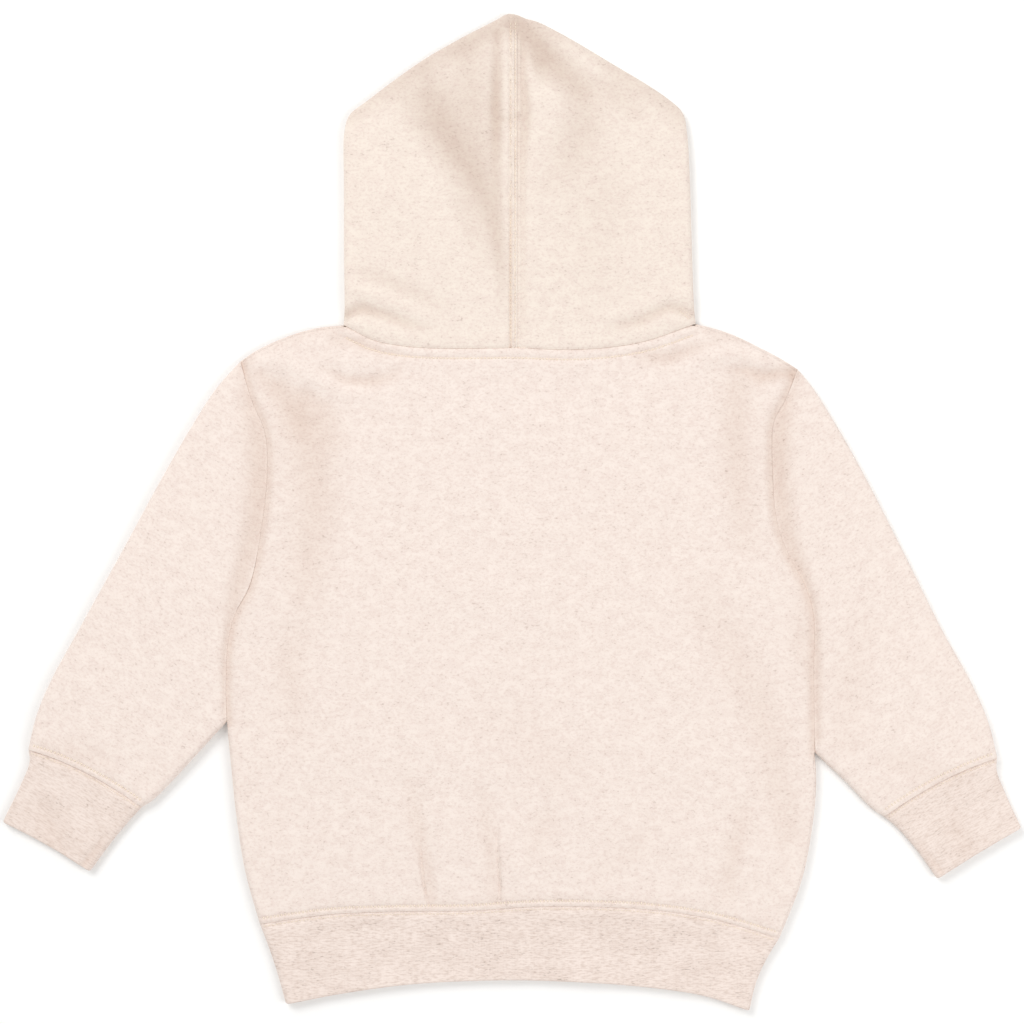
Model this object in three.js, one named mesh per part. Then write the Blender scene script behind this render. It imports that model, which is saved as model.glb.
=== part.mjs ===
import * as THREE from "three";

// Toddler hoodie laid flat with its back up. Sizes are millimetres. In plan, x runs to the right as seen from
// above and y runs towards the hood, both from the garment's middle. z is up from the surface it lies on.

// Cloth walls, and the height of the laid garment over its two layers of cloth.
const FLEECE_WALL = 2.0;
const RIB_WALL = 2.4;
const SEAM_GAP = 0.3;
const BODY_HEIGHT = 7.1;
const SLEEVE_HEIGHT = 7.4;
const HOOD_HEIGHT = 7.5;
const RIB_HEIGHT = 6.1;
const LEAST_AIR = 0.5;
const MOST_AIR = 3.8;
const FOLD_RADIUS = 3.5;

// How much the laid cloth sinks beside a seam, how far that reaches on each side of it, and over what length
// of the armhole the folded side of the body opens out.
const ARMHOLE_DIP = 2.3;
const ARMHOLE_REACH_BODY = 7;
const ARMHOLE_REACH_SLEEVE = 13;
const HEM_DIP = 0.8;
const HEM_REACH = 7;
const UNDERARM_EASE = 16;

// Length of the body from its waistband seam to its shoulders, and the extra room at the hood's outer
// corners, where three pieces meet.
const BODY_LENGTH = 345;
const NECK_CORNER_LIFT = 0.6;

// Where the back meets the front round a folded edge: 90 is the outermost line, 180 is on top.
const SIDE_SEAM_ANGLE = { left: 96, right: 150 };
const SHOULDER_SEAM_ANGLE = 120;

// Spans of the mesh. Pieces that meet at a seam share the spans along it.
const FOLD_STEPS = 5;
const QUARTER_STEPS = 3;
const SHOULDER_SPANS = 5;
const HALF_NECK_SPANS = 6;
const ARMHOLE_SPANS = 10;
const SIDE_SPANS = 6;
const SLEEVE_ROWS = 10;
const CUFF_ROWS = 2;
const WAISTBAND_ROWS = 2;
const HOOD_COLUMNS = 2 * HALF_NECK_SPANS;
const HOOD_ROWS = 11;
const BODY_COLUMNS = 2 * (SHOULDER_SPANS + HALF_NECK_SPANS);
const BODY_ROWS = SIDE_SPANS + ARMHOLE_SPANS;
const FREE_SPANS = 48;

function table(columns, rows) {
  const names = columns.split(" ");
  return rows.map((row) => Object.fromEntries(names.map((name, i) => [name, row[i]])));
}

// Back and front: a row for each level, from the waistband seam to the shoulder tips.
const BODY_SECTIONS = table("leftX leftY rightX rightY", [
  [-154.3, -251.5, 163.6, -260.3],
  [-163, -220, 177.5, -224],
  [-168.6, -185, 183.8, -191],
  [-171.8, -154, 186, -166],
  [-174.2, -128, 185.2, -147],
  [-174.8, -104, 184.4, -100],
  [-173.5, -80, 184, -62],
  [-169.5, -63, 178.5, -44],
  [-160, -44, 170.5, -29],
  [-152.8, -8, 162.4, -8],
  [-149.6, 22, 159.2, 22],
  [-151, 49, 160, 55],
  [-159, 68, 167.5, 69.5],
  [-166, 92.2, 174.6, 87.4],
]);
const UNDERARM_ROW = 4;

// Shoulder seams from the neck to the tips.
const SHOULDERS = table("leftX leftY rightX rightY", [
  [-103, 114.3, 112.3, 115],
  [-120, 112.3, 128, 110.8],
  [-134.5, 108.3, 138.5, 106.8],
  [-148, 102.8, 149, 101.6],
  [-158, 97.6, 162.6, 94.6],
  [-166, 92.2, 174.6, 87.4],
]);

// Necklines from left to right. The front one, underneath, is scooped lower.
const BACK_NECK = table("x y", [
  [-103, 114.3],
  [-84, 104.8],
  [-63, 101],
  [-38, 99.9],
  [3.7, 100.1],
  [35, 99.1],
  [58, 100.4],
  [82, 104.5],
  [112.3, 115],
]);
const FRONT_NECK = table("x y", [
  [-103, 114.3],
  [-90, 93],
  [-67, 67],
  [-34, 51],
  [3.7, 47],
  [42, 51],
  [76, 67],
  [99, 93],
  [112.3, 115],
]);

// Waistband: a row for each place across it, from left to right.
const WAISTBAND_SECTIONS = table("seamX seamY hemX hemY", [
  [-154.3, -251.5, -138.2, -300.8],
  [-112.5, -245.7, -104, -294.3],
  [-70, -243.8, -66, -289],
  [-25, -243.3, -24, -286.5],
  [16.2, -240.8, 14, -286.3],
  [75.3, -242, 70, -289.2],
  [121, -248, 116, -295.4],
  [163.6, -260.3, 145.2, -304.9],
]);
const WAISTBAND_NIP = { left: 1, right: 3.2 };

// Sleeves: a row for each section, from the armhole to the cuff seam.
const LEFT_SLEEVE = table("outerX outerY innerX innerY", [
  [-166, 92.2, -174.2, -128],
  [-180, 76.5, -179, -133.2],
  [-192, 58.5, -185.7, -140.6],
  [-211.4, 25.3, -193, -148.6],
  [-238, -23.5, -202, -158.5],
  [-265, -72.3, -210, -167],
  [-281, -101.5, -216, -173],
  [-290.5, -124, -221, -177.4],
  [-295.6, -145, -226, -180.2],
]);
const RIGHT_SLEEVE = table("outerX outerY innerX innerY", [
  [174.6, 87.4, 185.2, -147],
  [184.5, 75, 190, -151.8],
  [194, 60, 195.5, -157],
  [213.8, 25.3, 201.6, -162.6],
  [238.8, -23.5, 208, -169.2],
  [263, -72.3, 214, -175.6],
  [280, -103, 218.5, -180],
  [291, -128, 222.5, -183.4],
  [296.6, -150, 227, -186],
]);

// Cuffs: a row for each section, from the seam to the hand opening. Bow is how far the middle of a section
// lies towards the body.
const LEFT_CUFF = table("outerX outerY innerX innerY bow", [
  [-295.6, -145, -226, -180.2, 4],
  [-295, -153, -233.5, -188.3, 3.6],
  [-301, -168, -245, -202, 2.4],
  [-311.4, -189.5, -258, -219.8, 1.4],
]);
const RIGHT_CUFF = table("outerX outerY innerX innerY bow", [
  [296.6, -150, 227, -186, 3.6],
  [296.4, -158, 235, -192.6, 3.2],
  [301.5, -171.5, 246.5, -205.5, 2.2],
  [311.4, -193, 260, -224.3, 0.6],
]);

// Hood: the folded edges from the neck up the sides, round the corners and up the slopes to the tip.
const HOOD_EDGES = table("leftX leftY rightX rightY", [
  [-103, 114.3, 112.3, 115],
  [-102.4, 124, 111.3, 125],
  [-102.7, 160, 110, 160],
  [-102.7, 200, 108.7, 204],
  [-102.5, 232, 107, 231.5],
  [-99.5, 242.6, 104.6, 243.6],
  [-89.4, 250.8, 95, 252.9],
  [-56, 275.4, 57.6, 276.3],
  [-32, 289.4, 29, 293],
  [-10, 300.7, 15, 299.9],
  [-2.5, 304.7, 8.8, 301.6],
  [3.7, 303.9, 3.7, 303.9],
]);
const HOOD_SEAM = { x: 3.7, turnY: 240, tipY: 303.9 };
const FACE_OPENING = { topY: 205, halfGap: 1.7 };

// Largest folds: a row for each, with its two ends, its half width and its depth; a ridge is positive.
const FOLDS = table("fromX fromY toX toY reach depth", [
  [-57, 262, -44, 233, 14, -2.6],
  [-44, 233, -25, 205, 11, -2.2],
  [-25, 205, -12, 172, 9, -1.9],
  [-12, 172, -6, 135, 7, -1.1],
  [-89, 220, -25, 135, 18, 0.5],
  [11, 291, 39, 266, 10, -1.4],
  [39, 266, 49, 245, 12, -1.4],
  [49, 245, 39, 220, 12, -0.8],
  [-98.5, 126, -59, 115.6, 6, -1.3],
  [109, 124, 60, 112.5, 6, -1.3],
  [-111, 85, -71, 85, 9, -0.9],
  [-138, 97, -105, 78, 9, 0.6],
  [87.5, 97, 118, 100, 8, -0.6],
  [136, 89, 173, 81, 8, -1.0],
  [-135, 77, -108, 43.6, 16, -0.9],
  [-108, 43.6, -118, -2, 14, -0.8],
  [-102, -20, -116, -57, 16, -0.6],
  [-135, -84.5, -134, -124, 14, -0.6],
  [136, 77, 142, -14, 13, -0.8],
  [118, -54, 152, -115, 16, -0.6],
  [152, -115, 170, -197, 14, -0.8],
  [-59, -170, -51, -238, 8, -0.7],
  [-9, -190, -7, -236, 8, -0.7],
  [139, -170, 127, -234, 9, -0.7],
  [78, -203, 48, -228, 9, -0.5],
  [-290, -183, -276, -203, 8, -0.7],
  [268, -186, 279, -203, 8, -0.7],
]);

const FLEECE_COLOUR = 0xf5e6db;
const RIB_COLOUR = 0xeeddd1;

const mix = (a, b, t) => a + (b - a) * t;
const radians = THREE.MathUtils.degToRad;
const evenSteps = (count) => Array.from({ length: count + 1 }, (_, i) => i / count);

// A line in plan, kept as straight spans of like length and read by its share of them.
class Line {
  constructor(points) {
    this.points = points;
  }

  at(share) {
    const place = THREE.MathUtils.clamp(share, 0, 1) * (this.points.length - 1);
    const i = Math.min(Math.floor(place), this.points.length - 2);
    return this.points[i].clone().lerp(this.points[i + 1], place - i);
  }

  reversed() {
    return new Line([...this.points].reverse());
  }

  then(next) {
    return new Line([...this.points, ...next.points.slice(1)]);
  }

  // The same line moved sideways, to the left of its own direction.
  moved(distance) {
    const last = this.points.length - 1;
    const points = this.points.map((point, i) => {
      const before = this.points[Math.max(i - 1, 0)];
      const after = this.points[Math.min(i + 1, last)];
      const along = after.clone().sub(before).normalize();
      return new THREE.Vector2(point.x - along.y * distance, point.y + along.x * distance);
    });
    return new Line(points);
  }

  distanceTo(x, y) {
    const place = new THREE.Vector2(x, y);
    let nearest = Infinity;
    for (let i = 1; i < this.points.length; i += 1) {
      nearest = Math.min(nearest, distanceToSpan(place, this.points[i - 1], this.points[i]));
    }
    return nearest;
  }
}

function distanceToSpan(place, from, to) {
  const span = to.clone().sub(from);
  const t = THREE.MathUtils.clamp(place.clone().sub(from).dot(span) / span.lengthSq(), 0, 1);
  return place.distanceTo(from.clone().addScaledVector(span, t));
}

// A smooth line through the named columns of a table, from one of its rows to another, in equal spans.
function lineThrough(rows, xName, yName, spans, fromRow = 0, toRow = rows.length - 1) {
  const knots = rows.map((row) => new THREE.Vector3(row[xName], row[yName], 0));
  const curve = new THREE.CatmullRomCurve3(knots, false, "centripetal");
  const lastRow = rows.length - 1;
  const fine = evenSteps(FREE_SPANS * 4).map((t) => curve.getPoint(mix(fromRow, toRow, t) / lastRow));
  const lengths = [0];
  for (let i = 1; i < fine.length; i += 1) lengths.push(lengths[i - 1] + fine[i].distanceTo(fine[i - 1]));
  const points = evenSteps(spans).map((share) => {
    const wanted = share * lengths.at(-1);
    const i = Math.max(1, lengths.findIndex((length) => length >= wanted - 1e-9));
    const t = (wanted - lengths[i - 1]) / (lengths[i] - lengths[i - 1]);
    const point = fine[i - 1].clone().lerp(fine[i], t);
    return new THREE.Vector2(point.x, point.y);
  });
  return new Line(points);
}

function straight(fromX, fromY, toX, toY) {
  return new Line([new THREE.Vector2(fromX, fromY), new THREE.Vector2(toX, toY)]);
}

function bowed(from, to, bow, spans) {
  const points = evenSteps(spans).map((t) => {
    const point = from.clone().lerp(to, t);
    point.y += bow * 4 * t * (1 - t);
    return point;
  });
  return new Line(points);
}

// A patch of the plan between four lines: u runs 0 to 1 from left to right, v from start to end. It meets the
// start and end lines exactly; the left and right lines give the shape of its sides between their corners.
function patch({ start, end, left, right }) {
  const bulge = (side, v) => side.at(v).sub(side.at(0).lerp(side.at(1), v));
  return (u, v) =>
    start.at(u).lerp(end.at(u), v).addScaledVector(bulge(left, v), 1 - u).addScaledVector(bulge(right, v), u);
}

function foldRelief(x, y) {
  const place = new THREE.Vector2(x, y);
  let relief = 0;
  for (const fold of FOLDS) {
    const from = new THREE.Vector2(fold.fromX, fold.fromY);
    const to = new THREE.Vector2(fold.toX, fold.toY);
    relief += fold.depth * Math.exp(-((distanceToSpan(place, from, to) / fold.reach) ** 2));
  }
  return relief;
}

// Height of the laid cloth over the surface, for a piece with its own wall, full height and sinking seams.
function heightOver({ wall, height, dips = [] }) {
  return (x, y) => {
    let z = height + foldRelief(x, y);
    for (const dip of dips) z -= dip.depth * Math.exp(-((dip.line.distanceTo(x, y) / dip.reach) ** 2));
    return THREE.MathUtils.clamp(z, 2 * wall + LEAST_AIR, 2 * wall + MOST_AIR);
  };
}

// Places round a section. A place has its layer and how far across it lies, or the fold that it is on and
// the angle round that fold, from 0 underneath to 180 on top.
function flatPlaces(layer, spans, { leftFold = true, rightFold = true } = {}) {
  return evenSteps(spans).map((u) => {
    const atFold = (u === 0 && leftFold && "left") || (u === 1 && rightFold && "right") || null;
    return { layer, u, atFold };
  });
}

function foldPlaces(side, fromAngle, toAngle) {
  const steps = evenSteps(FOLD_STEPS + 1).slice(1, -1);
  const angles = steps.map((t) => mix(fromAngle, toAngle, t));
  return angles.map((angle) => ({ side, angle, layer: angle > 90 ? "top" : "under" }));
}

// Share of the way across at a distance from the folded edge on one side.
const fromEdge = (side, distance, width) => (side === "left" ? distance / width : 1 - distance / width);

// Distance from a folded edge and share of the height, on the outside or the inside of the wall.
function roundFold(angle, wall, inside) {
  const bend = radians(angle);
  const radius = inside ? FOLD_RADIUS - wall : FOLD_RADIUS;
  return { distance: FOLD_RADIUS - radius * Math.sin(bend), level: (1 - Math.cos(bend)) / 2 };
}

// The end of a wall at a seam that runs along a fold, drawn back by half the gap on both faces of the wall.
function foldAtSeam(seamAngle, isTop, wall, inside) {
  const radius = inside ? FOLD_RADIUS - wall : FOLD_RADIUS;
  const drawnBack = THREE.MathUtils.radToDeg(SEAM_GAP / 2 / radius);
  return roundFold(seamAngle + (isTop ? drawnBack : -drawnBack), wall, inside);
}

// Mesh of a closed wall from its outer and inner rows; a tube's rows close on themselves.
function wallMesh(name, outerRows, innerRows, isTube, colour) {
  const rowCount = outerRows.length;
  const width = outerRows[0].length;
  const positions = [...outerRows, ...innerRows].flat().flatMap((point) => [point.x, point.y, point.z]);
  const outer = (row, i) => row * width + (i % width);
  const inner = (row, i) => rowCount * width + outer(row, i);
  const faces = [];
  const quad = (a, b, c, d) => faces.push(a, b, c, a, c, d);
  const spans = isTube ? width : width - 1;
  for (let i = 0; i < spans; i += 1) {
    for (let row = 0; row < rowCount - 1; row += 1) {
      quad(outer(row, i), outer(row, i + 1), outer(row + 1, i + 1), outer(row + 1, i));
      quad(inner(row, i), inner(row + 1, i), inner(row + 1, i + 1), inner(row, i + 1));
    }
    quad(outer(0, i), inner(0, i), inner(0, i + 1), outer(0, i + 1));
    const end = rowCount - 1;
    quad(outer(end, i), outer(end, i + 1), inner(end, i + 1), inner(end, i));
  }
  if (!isTube) {
    const last = width - 1;
    for (let row = 0; row < rowCount - 1; row += 1) {
      quad(outer(row, 0), outer(row + 1, 0), inner(row + 1, 0), inner(row, 0));
      quad(outer(row, last), inner(row, last), inner(row + 1, last), outer(row + 1, last));
    }
  }
  if (signedVolume(positions, faces) < 0) faces.reverse();
  const geometry = new THREE.BufferGeometry();
  geometry.setAttribute("position", new THREE.Float32BufferAttribute(positions, 3));
  geometry.setIndex(faces);
  geometry.computeVertexNormals();
  const material = new THREE.MeshStandardMaterial({ color: colour, roughness: 0.95, metalness: 0 });
  const mesh = new THREE.Mesh(geometry, material);
  mesh.name = name;
  return mesh;
}

function signedVolume(positions, faces) {
  const corner = (index) => new THREE.Vector3().fromArray(positions, 3 * index);
  let volume = 0;
  for (let i = 0; i < faces.length; i += 3) {
    volume += corner(faces[i]).dot(corner(faces[i + 1]).cross(corner(faces[i + 2]))) / 6;
  }
  return volume;
}

// One point of a laid wall: a place in plan at a share of the laid height, outside or inside the wall.
function wallPoint(plan, level, wall, heightAt, inside) {
  const height = heightAt(plan.x, plan.y);
  const z = inside ? wall + level * (height - 2 * wall) : level * height;
  return new THREE.Vector3(plan.x, plan.y, z);
}

// A wall that runs round one or both folds: sleeves, cuffs, waistband and hood panels.
function wrappedWall({ name, top, under, places, rows, wall, heightAt, isTube, colour }) {
  const wallRows = (inside) =>
    rows.map((v) =>
      places.map((place) => {
        const layer = place.layer === "top" ? top : under;
        const width = layer(0, v).distanceTo(layer(1, v));
        if (place.side) {
          const { distance, level } = roundFold(place.angle, wall, inside);
          return wallPoint(layer(fromEdge(place.side, distance, width), v), level, wall, heightAt, inside);
        }
        const u = place.atFold ? fromEdge(place.atFold, FOLD_RADIUS, width) : place.u;
        return wallPoint(layer(u, v), place.layer === "top" ? 1 : 0, wall, heightAt, inside);
      }),
    );
  return wallMesh(name, wallRows(false), wallRows(true), isTube, colour);
}

// Places across the body. The fold at each side opens out into a plain edge where the armhole takes over,
// and the fold along each shoulder into a plain edge at the neck.
function panelEdge(share, folded, seamAngle, isTop, wall, inside) {
  const far = isTop ? 180 : 0;
  const angle = mix(seamAngle, far, share);
  const atSeam = share === 0;
  const round = atSeam ? foldAtSeam(seamAngle, isTop, wall, inside) : roundFold(angle, wall, inside);
  return {
    distance: mix(share * FOLD_RADIUS, round.distance, folded),
    lost: folded * (isTop ? 1 - round.level : round.level),
  };
}

function bodyPanel({ name, isTop, layer, heightAt, hemToNeck }) {
  const quarter = evenSteps(QUARTER_STEPS).slice(0, -1);
  const columns = [
    ...quarter.map((share) => ({ side: "left", share })),
    ...flatPlaces("panel", BODY_COLUMNS),
    ...[...quarter].reverse().map((share) => ({ side: "right", share })),
  ];
  const rows = [
    ...evenSteps(BODY_ROWS).map((v) => ({ v })),
    ...[...quarter].reverse().map((share) => ({ share })),
  ];
  const pointAt = (column, row, inside) => {
    const atTop = row.share !== undefined || row.v === 1;
    const onShoulder = column.side || column.atFold ? 0 : shoulderFold(column.u);
    const shoulder = row.share === undefined
      ? { distance: atTop ? FOLD_RADIUS : 0, lost: 0 }
      : panelEdge(row.share, onShoulder, SHOULDER_SEAM_ANGLE, isTop, FLEECE_WALL, inside);
    const v = atTop ? 1 - shoulder.distance / hemToNeck : row.v;
    const width = layer(0, v).distanceTo(layer(1, v));
    let u = column.atFold ? fromEdge(column.atFold, FOLD_RADIUS, width) : column.u;
    let lost = shoulder.lost;
    if (column.side) {
      const folded = sideFold(column.side, layer(column.side === "left" ? 0 : 1, v).y);
      const angle = SIDE_SEAM_ANGLE[column.side];
      const place = panelEdge(column.share, folded, angle, isTop, FLEECE_WALL, inside);
      u = fromEdge(column.side, place.distance, width);
      lost += place.lost;
    }
    return wallPoint(layer(u, v), isTop ? 1 - lost : lost, FLEECE_WALL, heightAt, inside);
  };
  const wallRows = (inside) => rows.map((row) => columns.map((column) => pointAt(column, row, inside)));
  return wallMesh(name, wallRows(false), wallRows(true), false, FLEECE_COLOUR);
}

// One where the body's side is folded, nothing up the armhole.
function sideFold(side, y) {
  const underarm = BODY_SECTIONS[UNDERARM_ROW][side + "Y"];
  return 1 - THREE.MathUtils.smoothstep(y, underarm - UNDERARM_EASE, underarm - 1);
}

// One along the shoulders, nothing along the neck.
const shoulderFold = (u) => (Math.abs(u - 0.5) > HALF_NECK_SPANS / BODY_COLUMNS + 1e-6 ? 1 : 0);

// Lines of the plan. Each piece keeps half a seam's gap to them.
const halfGap = SEAM_GAP / 2;
const topRow = BODY_SECTIONS.length - 1;
const bodyEdge = (x, y) => ({
  side: lineThrough(BODY_SECTIONS, x, y, SIDE_SPANS, 0, UNDERARM_ROW),
  armhole: lineThrough(BODY_SECTIONS, x, y, ARMHOLE_SPANS, UNDERARM_ROW, topRow),
});
const bodyEdges = { left: bodyEdge("leftX", "leftY"), right: bodyEdge("rightX", "rightY") };
const waistSeam = lineThrough(WAISTBAND_SECTIONS, "seamX", "seamY", BODY_COLUMNS);
const hem = lineThrough(WAISTBAND_SECTIONS, "hemX", "hemY", BODY_COLUMNS);

// A neckline in two halves that meet at the hood's middle seam.
function neckline(rows) {
  const halves = ["left", "right"].map((side) => {
    const middle = rows.findIndex((row) => row.x > HOOD_SEAM.x - 1 && row.x < HOOD_SEAM.x + 1);
    const [from, to] = side === "left" ? [0, middle] : [middle, rows.length - 1];
    return lineThrough(rows, "x", "y", HALF_NECK_SPANS, from, to);
  });
  return { left: halves[0], right: halves[1] };
}
const backNeck = neckline(BACK_NECK);
const frontNeck = neckline(FRONT_NECK);

const armholeDips = (reach) =>
  [bodyEdges.left, bodyEdges.right].map((edge) => ({ line: edge.armhole, depth: ARMHOLE_DIP, reach }));
const hemDip = { line: waistSeam, depth: HEM_DIP, reach: HEM_REACH };

function buildBody() {
  const left = bodyEdges.left.side.then(bodyEdges.left.armhole).moved(-halfGap);
  const right = bodyEdges.right.side.then(bodyEdges.right.armhole).moved(halfGap);
  const shoulderLeft = lineThrough(SHOULDERS, "leftX", "leftY", SHOULDER_SPANS).reversed();
  const shoulderRight = lineThrough(SHOULDERS, "rightX", "rightY", SHOULDER_SPANS);
  const heightAt = heightOver({
    wall: FLEECE_WALL,
    height: BODY_HEIGHT,
    dips: [...armholeDips(ARMHOLE_REACH_BODY), hemDip],
  });
  const panels = [
    { name: "back_panel", isTop: true, neck: backNeck },
    { name: "front_panel", isTop: false, neck: frontNeck },
  ];
  return panels.map(({ name, isTop, neck }) => {
    const parts = [shoulderLeft, neck.left, neck.right, shoulderRight].map((line) => line.moved(-halfGap));
    const end = parts.reduce((whole, part) => whole.then(part));
    const start = waistSeam.moved(halfGap);
    for (const [line, v] of [[start, 0], [end, 1]]) {
      line.points[0].x = left.at(v).x;
      line.points[BODY_COLUMNS].x = right.at(v).x;
    }
    const layer = patch({ start, end, left, right });
    return bodyPanel({ name, isTop, layer, heightAt, hemToNeck: BODY_LENGTH });
  });
}

const tubePlaces = (spans) => [
  ...flatPlaces("under", spans),
  ...foldPlaces("right", 0, 180),
  ...flatPlaces("top", spans).reverse(),
  ...foldPlaces("left", 180, 0),
];

// A sleeve and its cuff. In each, left and right are the two folded edges as seen from above.
function buildSleeve(side) {
  const isLeft = side === "left";
  const sections = isLeft ? LEFT_SLEEVE : RIGHT_SLEEVE;
  const cuffSections = isLeft ? LEFT_CUFF : RIGHT_CUFF;
  const outwards = isLeft ? 1 : -1;
  const outer = lineThrough(sections, "outerX", "outerY", FREE_SPANS);
  const inner = lineThrough(sections, "innerX", "innerY", FREE_SPANS);
  const armhole = bodyEdges[side].armhole.reversed().moved(-outwards * halfGap);
  const section = (row, towardsBody) => {
    const from = new THREE.Vector2(row.outerX, row.outerY);
    const to = new THREE.Vector2(row.innerX, row.innerY);
    return bowed(from, to, row.bow, ARMHOLE_SPANS).moved(outwards * towardsBody);
  };
  const lay = (start, end, outerEdge, innerEdge) => {
    if (isLeft) return patch({ start, end, left: outerEdge, right: innerEdge });
    return patch({ start: start.reversed(), end: end.reversed(), left: innerEdge, right: outerEdge });
  };
  const sleeveLayer = lay(armhole, section(cuffSections[0], halfGap), outer, inner);
  const dips = armholeDips(ARMHOLE_REACH_SLEEVE);
  const sleeveHeight = heightOver({ wall: FLEECE_WALL, height: SLEEVE_HEIGHT, dips });
  const sleeve = wrappedWall({
    name: "sleeve_" + side,
    top: sleeveLayer,
    under: sleeveLayer,
    places: tubePlaces(ARMHOLE_SPANS),
    rows: evenSteps(SLEEVE_ROWS),
    wall: FLEECE_WALL,
    heightAt: sleeveHeight,
    isTube: true,
    colour: FLEECE_COLOUR,
  });
  const cuffOuter = lineThrough(cuffSections, "outerX", "outerY", FREE_SPANS);
  const cuffInner = lineThrough(cuffSections, "innerX", "innerY", FREE_SPANS);
  const seamEnd = section(cuffSections[0], -halfGap);
  const handEnd = section(cuffSections.at(-1), 0);
  const cuffLayer = lay(seamEnd, handEnd, cuffOuter, cuffInner);
  const cuff = wrappedWall({
    name: "cuff_" + side,
    top: cuffLayer,
    under: cuffLayer,
    places: tubePlaces(ARMHOLE_SPANS),
    rows: evenSteps(CUFF_ROWS),
    wall: RIB_WALL,
    heightAt: heightOver({ wall: RIB_WALL, height: RIB_HEIGHT }),
    isTube: true,
    colour: RIB_COLOUR,
  });
  return [sleeve, cuff];
}

function buildWaistband() {
  const edge = (row, inwards) => {
    const points = evenSteps(FREE_SPANS).map((t) => {
      const x = mix(row.hemX, row.seamX, t) + inwards * Math.sin(Math.PI * t);
      return new THREE.Vector2(x, mix(row.hemY, row.seamY, t));
    });
    return new Line(points);
  };
  const layer = patch({
    start: hem,
    end: waistSeam.moved(-halfGap),
    left: edge(WAISTBAND_SECTIONS[0], WAISTBAND_NIP.left),
    right: edge(WAISTBAND_SECTIONS.at(-1), -WAISTBAND_NIP.right),
  });
  return wrappedWall({
    name: "waistband",
    top: layer,
    under: layer,
    places: tubePlaces(BODY_COLUMNS),
    rows: evenSteps(WAISTBAND_ROWS),
    wall: RIB_WALL,
    heightAt: heightOver({ wall: RIB_WALL, height: RIB_HEIGHT }),
    isTube: true,
    colour: RIB_COLOUR,
  });
}

// One half of the hood. Its rows start along the neck and turn until the last lies up the middle seam to the
// tip. Each row runs from the middle seam over the folded edge and back underneath to the face opening.
function buildHood(side) {
  const isLeft = side === "left";
  const seamX = HOOD_SEAM.x + (isLeft ? -halfGap : halfGap);
  const edge = lineThrough(HOOD_EDGES, side + "X", side + "Y", FREE_SPANS);
  const corner = edge.at(0).add(new THREE.Vector2(0, NECK_CORNER_LIFT));
  const neckHalf = (neck) => {
    const line = isLeft ? neck.left.moved(halfGap) : neck.right.moved(halfGap).reversed();
    line.points[0].copy(corner);
    line.points[HALF_NECK_SPANS].x = seamX;
    return line;
  };
  const topNeck = neckHalf(backNeck);
  const underNeck = neckHalf(frontNeck);
  const seam = straight(seamX, topNeck.at(1).y, seamX, HOOD_SEAM.turnY);
  const opening = new Line(evenSteps(FREE_SPANS).map((t) => {
    const gap = FACE_OPENING.halfGap * Math.sin(Math.PI * t);
    return new THREE.Vector2(seamX + (isLeft ? -gap : gap), mix(underNeck.at(1).y, FACE_OPENING.topY, t));
  }));
  const topTurn = straight(seamX, HOOD_SEAM.tipY, seamX, HOOD_SEAM.turnY);
  const underTurn = straight(seamX, HOOD_SEAM.tipY, seamX, FACE_OPENING.topY);
  const lay = (start, end, middle) => {
    if (isLeft) return patch({ start, end, left: edge, right: middle });
    return patch({ start: start.reversed(), end: end.reversed(), left: middle, right: edge });
  };
  const sheet = (layer) => {
    const places = flatPlaces(layer, HOOD_COLUMNS, { leftFold: isLeft, rightFold: !isLeft });
    return isLeft ? places : places.reverse();
  };
  return wrappedWall({
    name: "hood_" + side,
    top: lay(topNeck, topTurn, seam),
    under: lay(underNeck, underTurn, opening),
    places: [...sheet("top").reverse(), ...foldPlaces(side, 180, 0), ...sheet("under")],
    rows: evenSteps(HOOD_ROWS),
    wall: FLEECE_WALL,
    heightAt: heightOver({ wall: FLEECE_WALL, height: HOOD_HEIGHT }),
    isTube: false,
    colour: FLEECE_COLOUR,
  });
}

const group = new THREE.Group();
group.add(...buildBody());
group.add(...buildSleeve("left"), ...buildSleeve("right"));
group.add(buildWaistband());
group.add(buildHood("left"), buildHood("right"));

// The origin is the middle of the underside.
const middle = new THREE.Box3().setFromObject(group).getCenter(new THREE.Vector3());
group.position.set(-middle.x, -middle.y, 0);
group.updateMatrixWorld(true);

export default group;
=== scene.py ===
import math

import bpy
import numpy as np
from mathutils import Matrix, Vector


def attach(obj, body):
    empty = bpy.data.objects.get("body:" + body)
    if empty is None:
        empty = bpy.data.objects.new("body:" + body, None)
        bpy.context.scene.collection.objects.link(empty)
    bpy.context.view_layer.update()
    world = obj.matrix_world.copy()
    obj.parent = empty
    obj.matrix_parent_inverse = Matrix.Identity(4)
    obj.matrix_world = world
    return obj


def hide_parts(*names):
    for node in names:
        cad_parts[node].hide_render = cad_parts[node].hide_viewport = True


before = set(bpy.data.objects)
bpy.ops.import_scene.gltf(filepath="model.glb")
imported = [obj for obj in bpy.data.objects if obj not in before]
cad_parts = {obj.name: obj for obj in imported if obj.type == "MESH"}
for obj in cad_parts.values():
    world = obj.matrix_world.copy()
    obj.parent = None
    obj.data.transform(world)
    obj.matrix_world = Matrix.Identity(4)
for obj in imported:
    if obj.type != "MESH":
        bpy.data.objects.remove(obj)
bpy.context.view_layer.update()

# Toddler hoodie laid flat with its back up. Plan sizes are millimetres, x to the right as seen from above
# and y towards the hood. The meshes are in metres, with the middle of the underside at the origin.
MM = 0.001
PLAN_MIDDLE = np.array([0.0, -0.5])

SIDES = ("left", "right")

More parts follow.
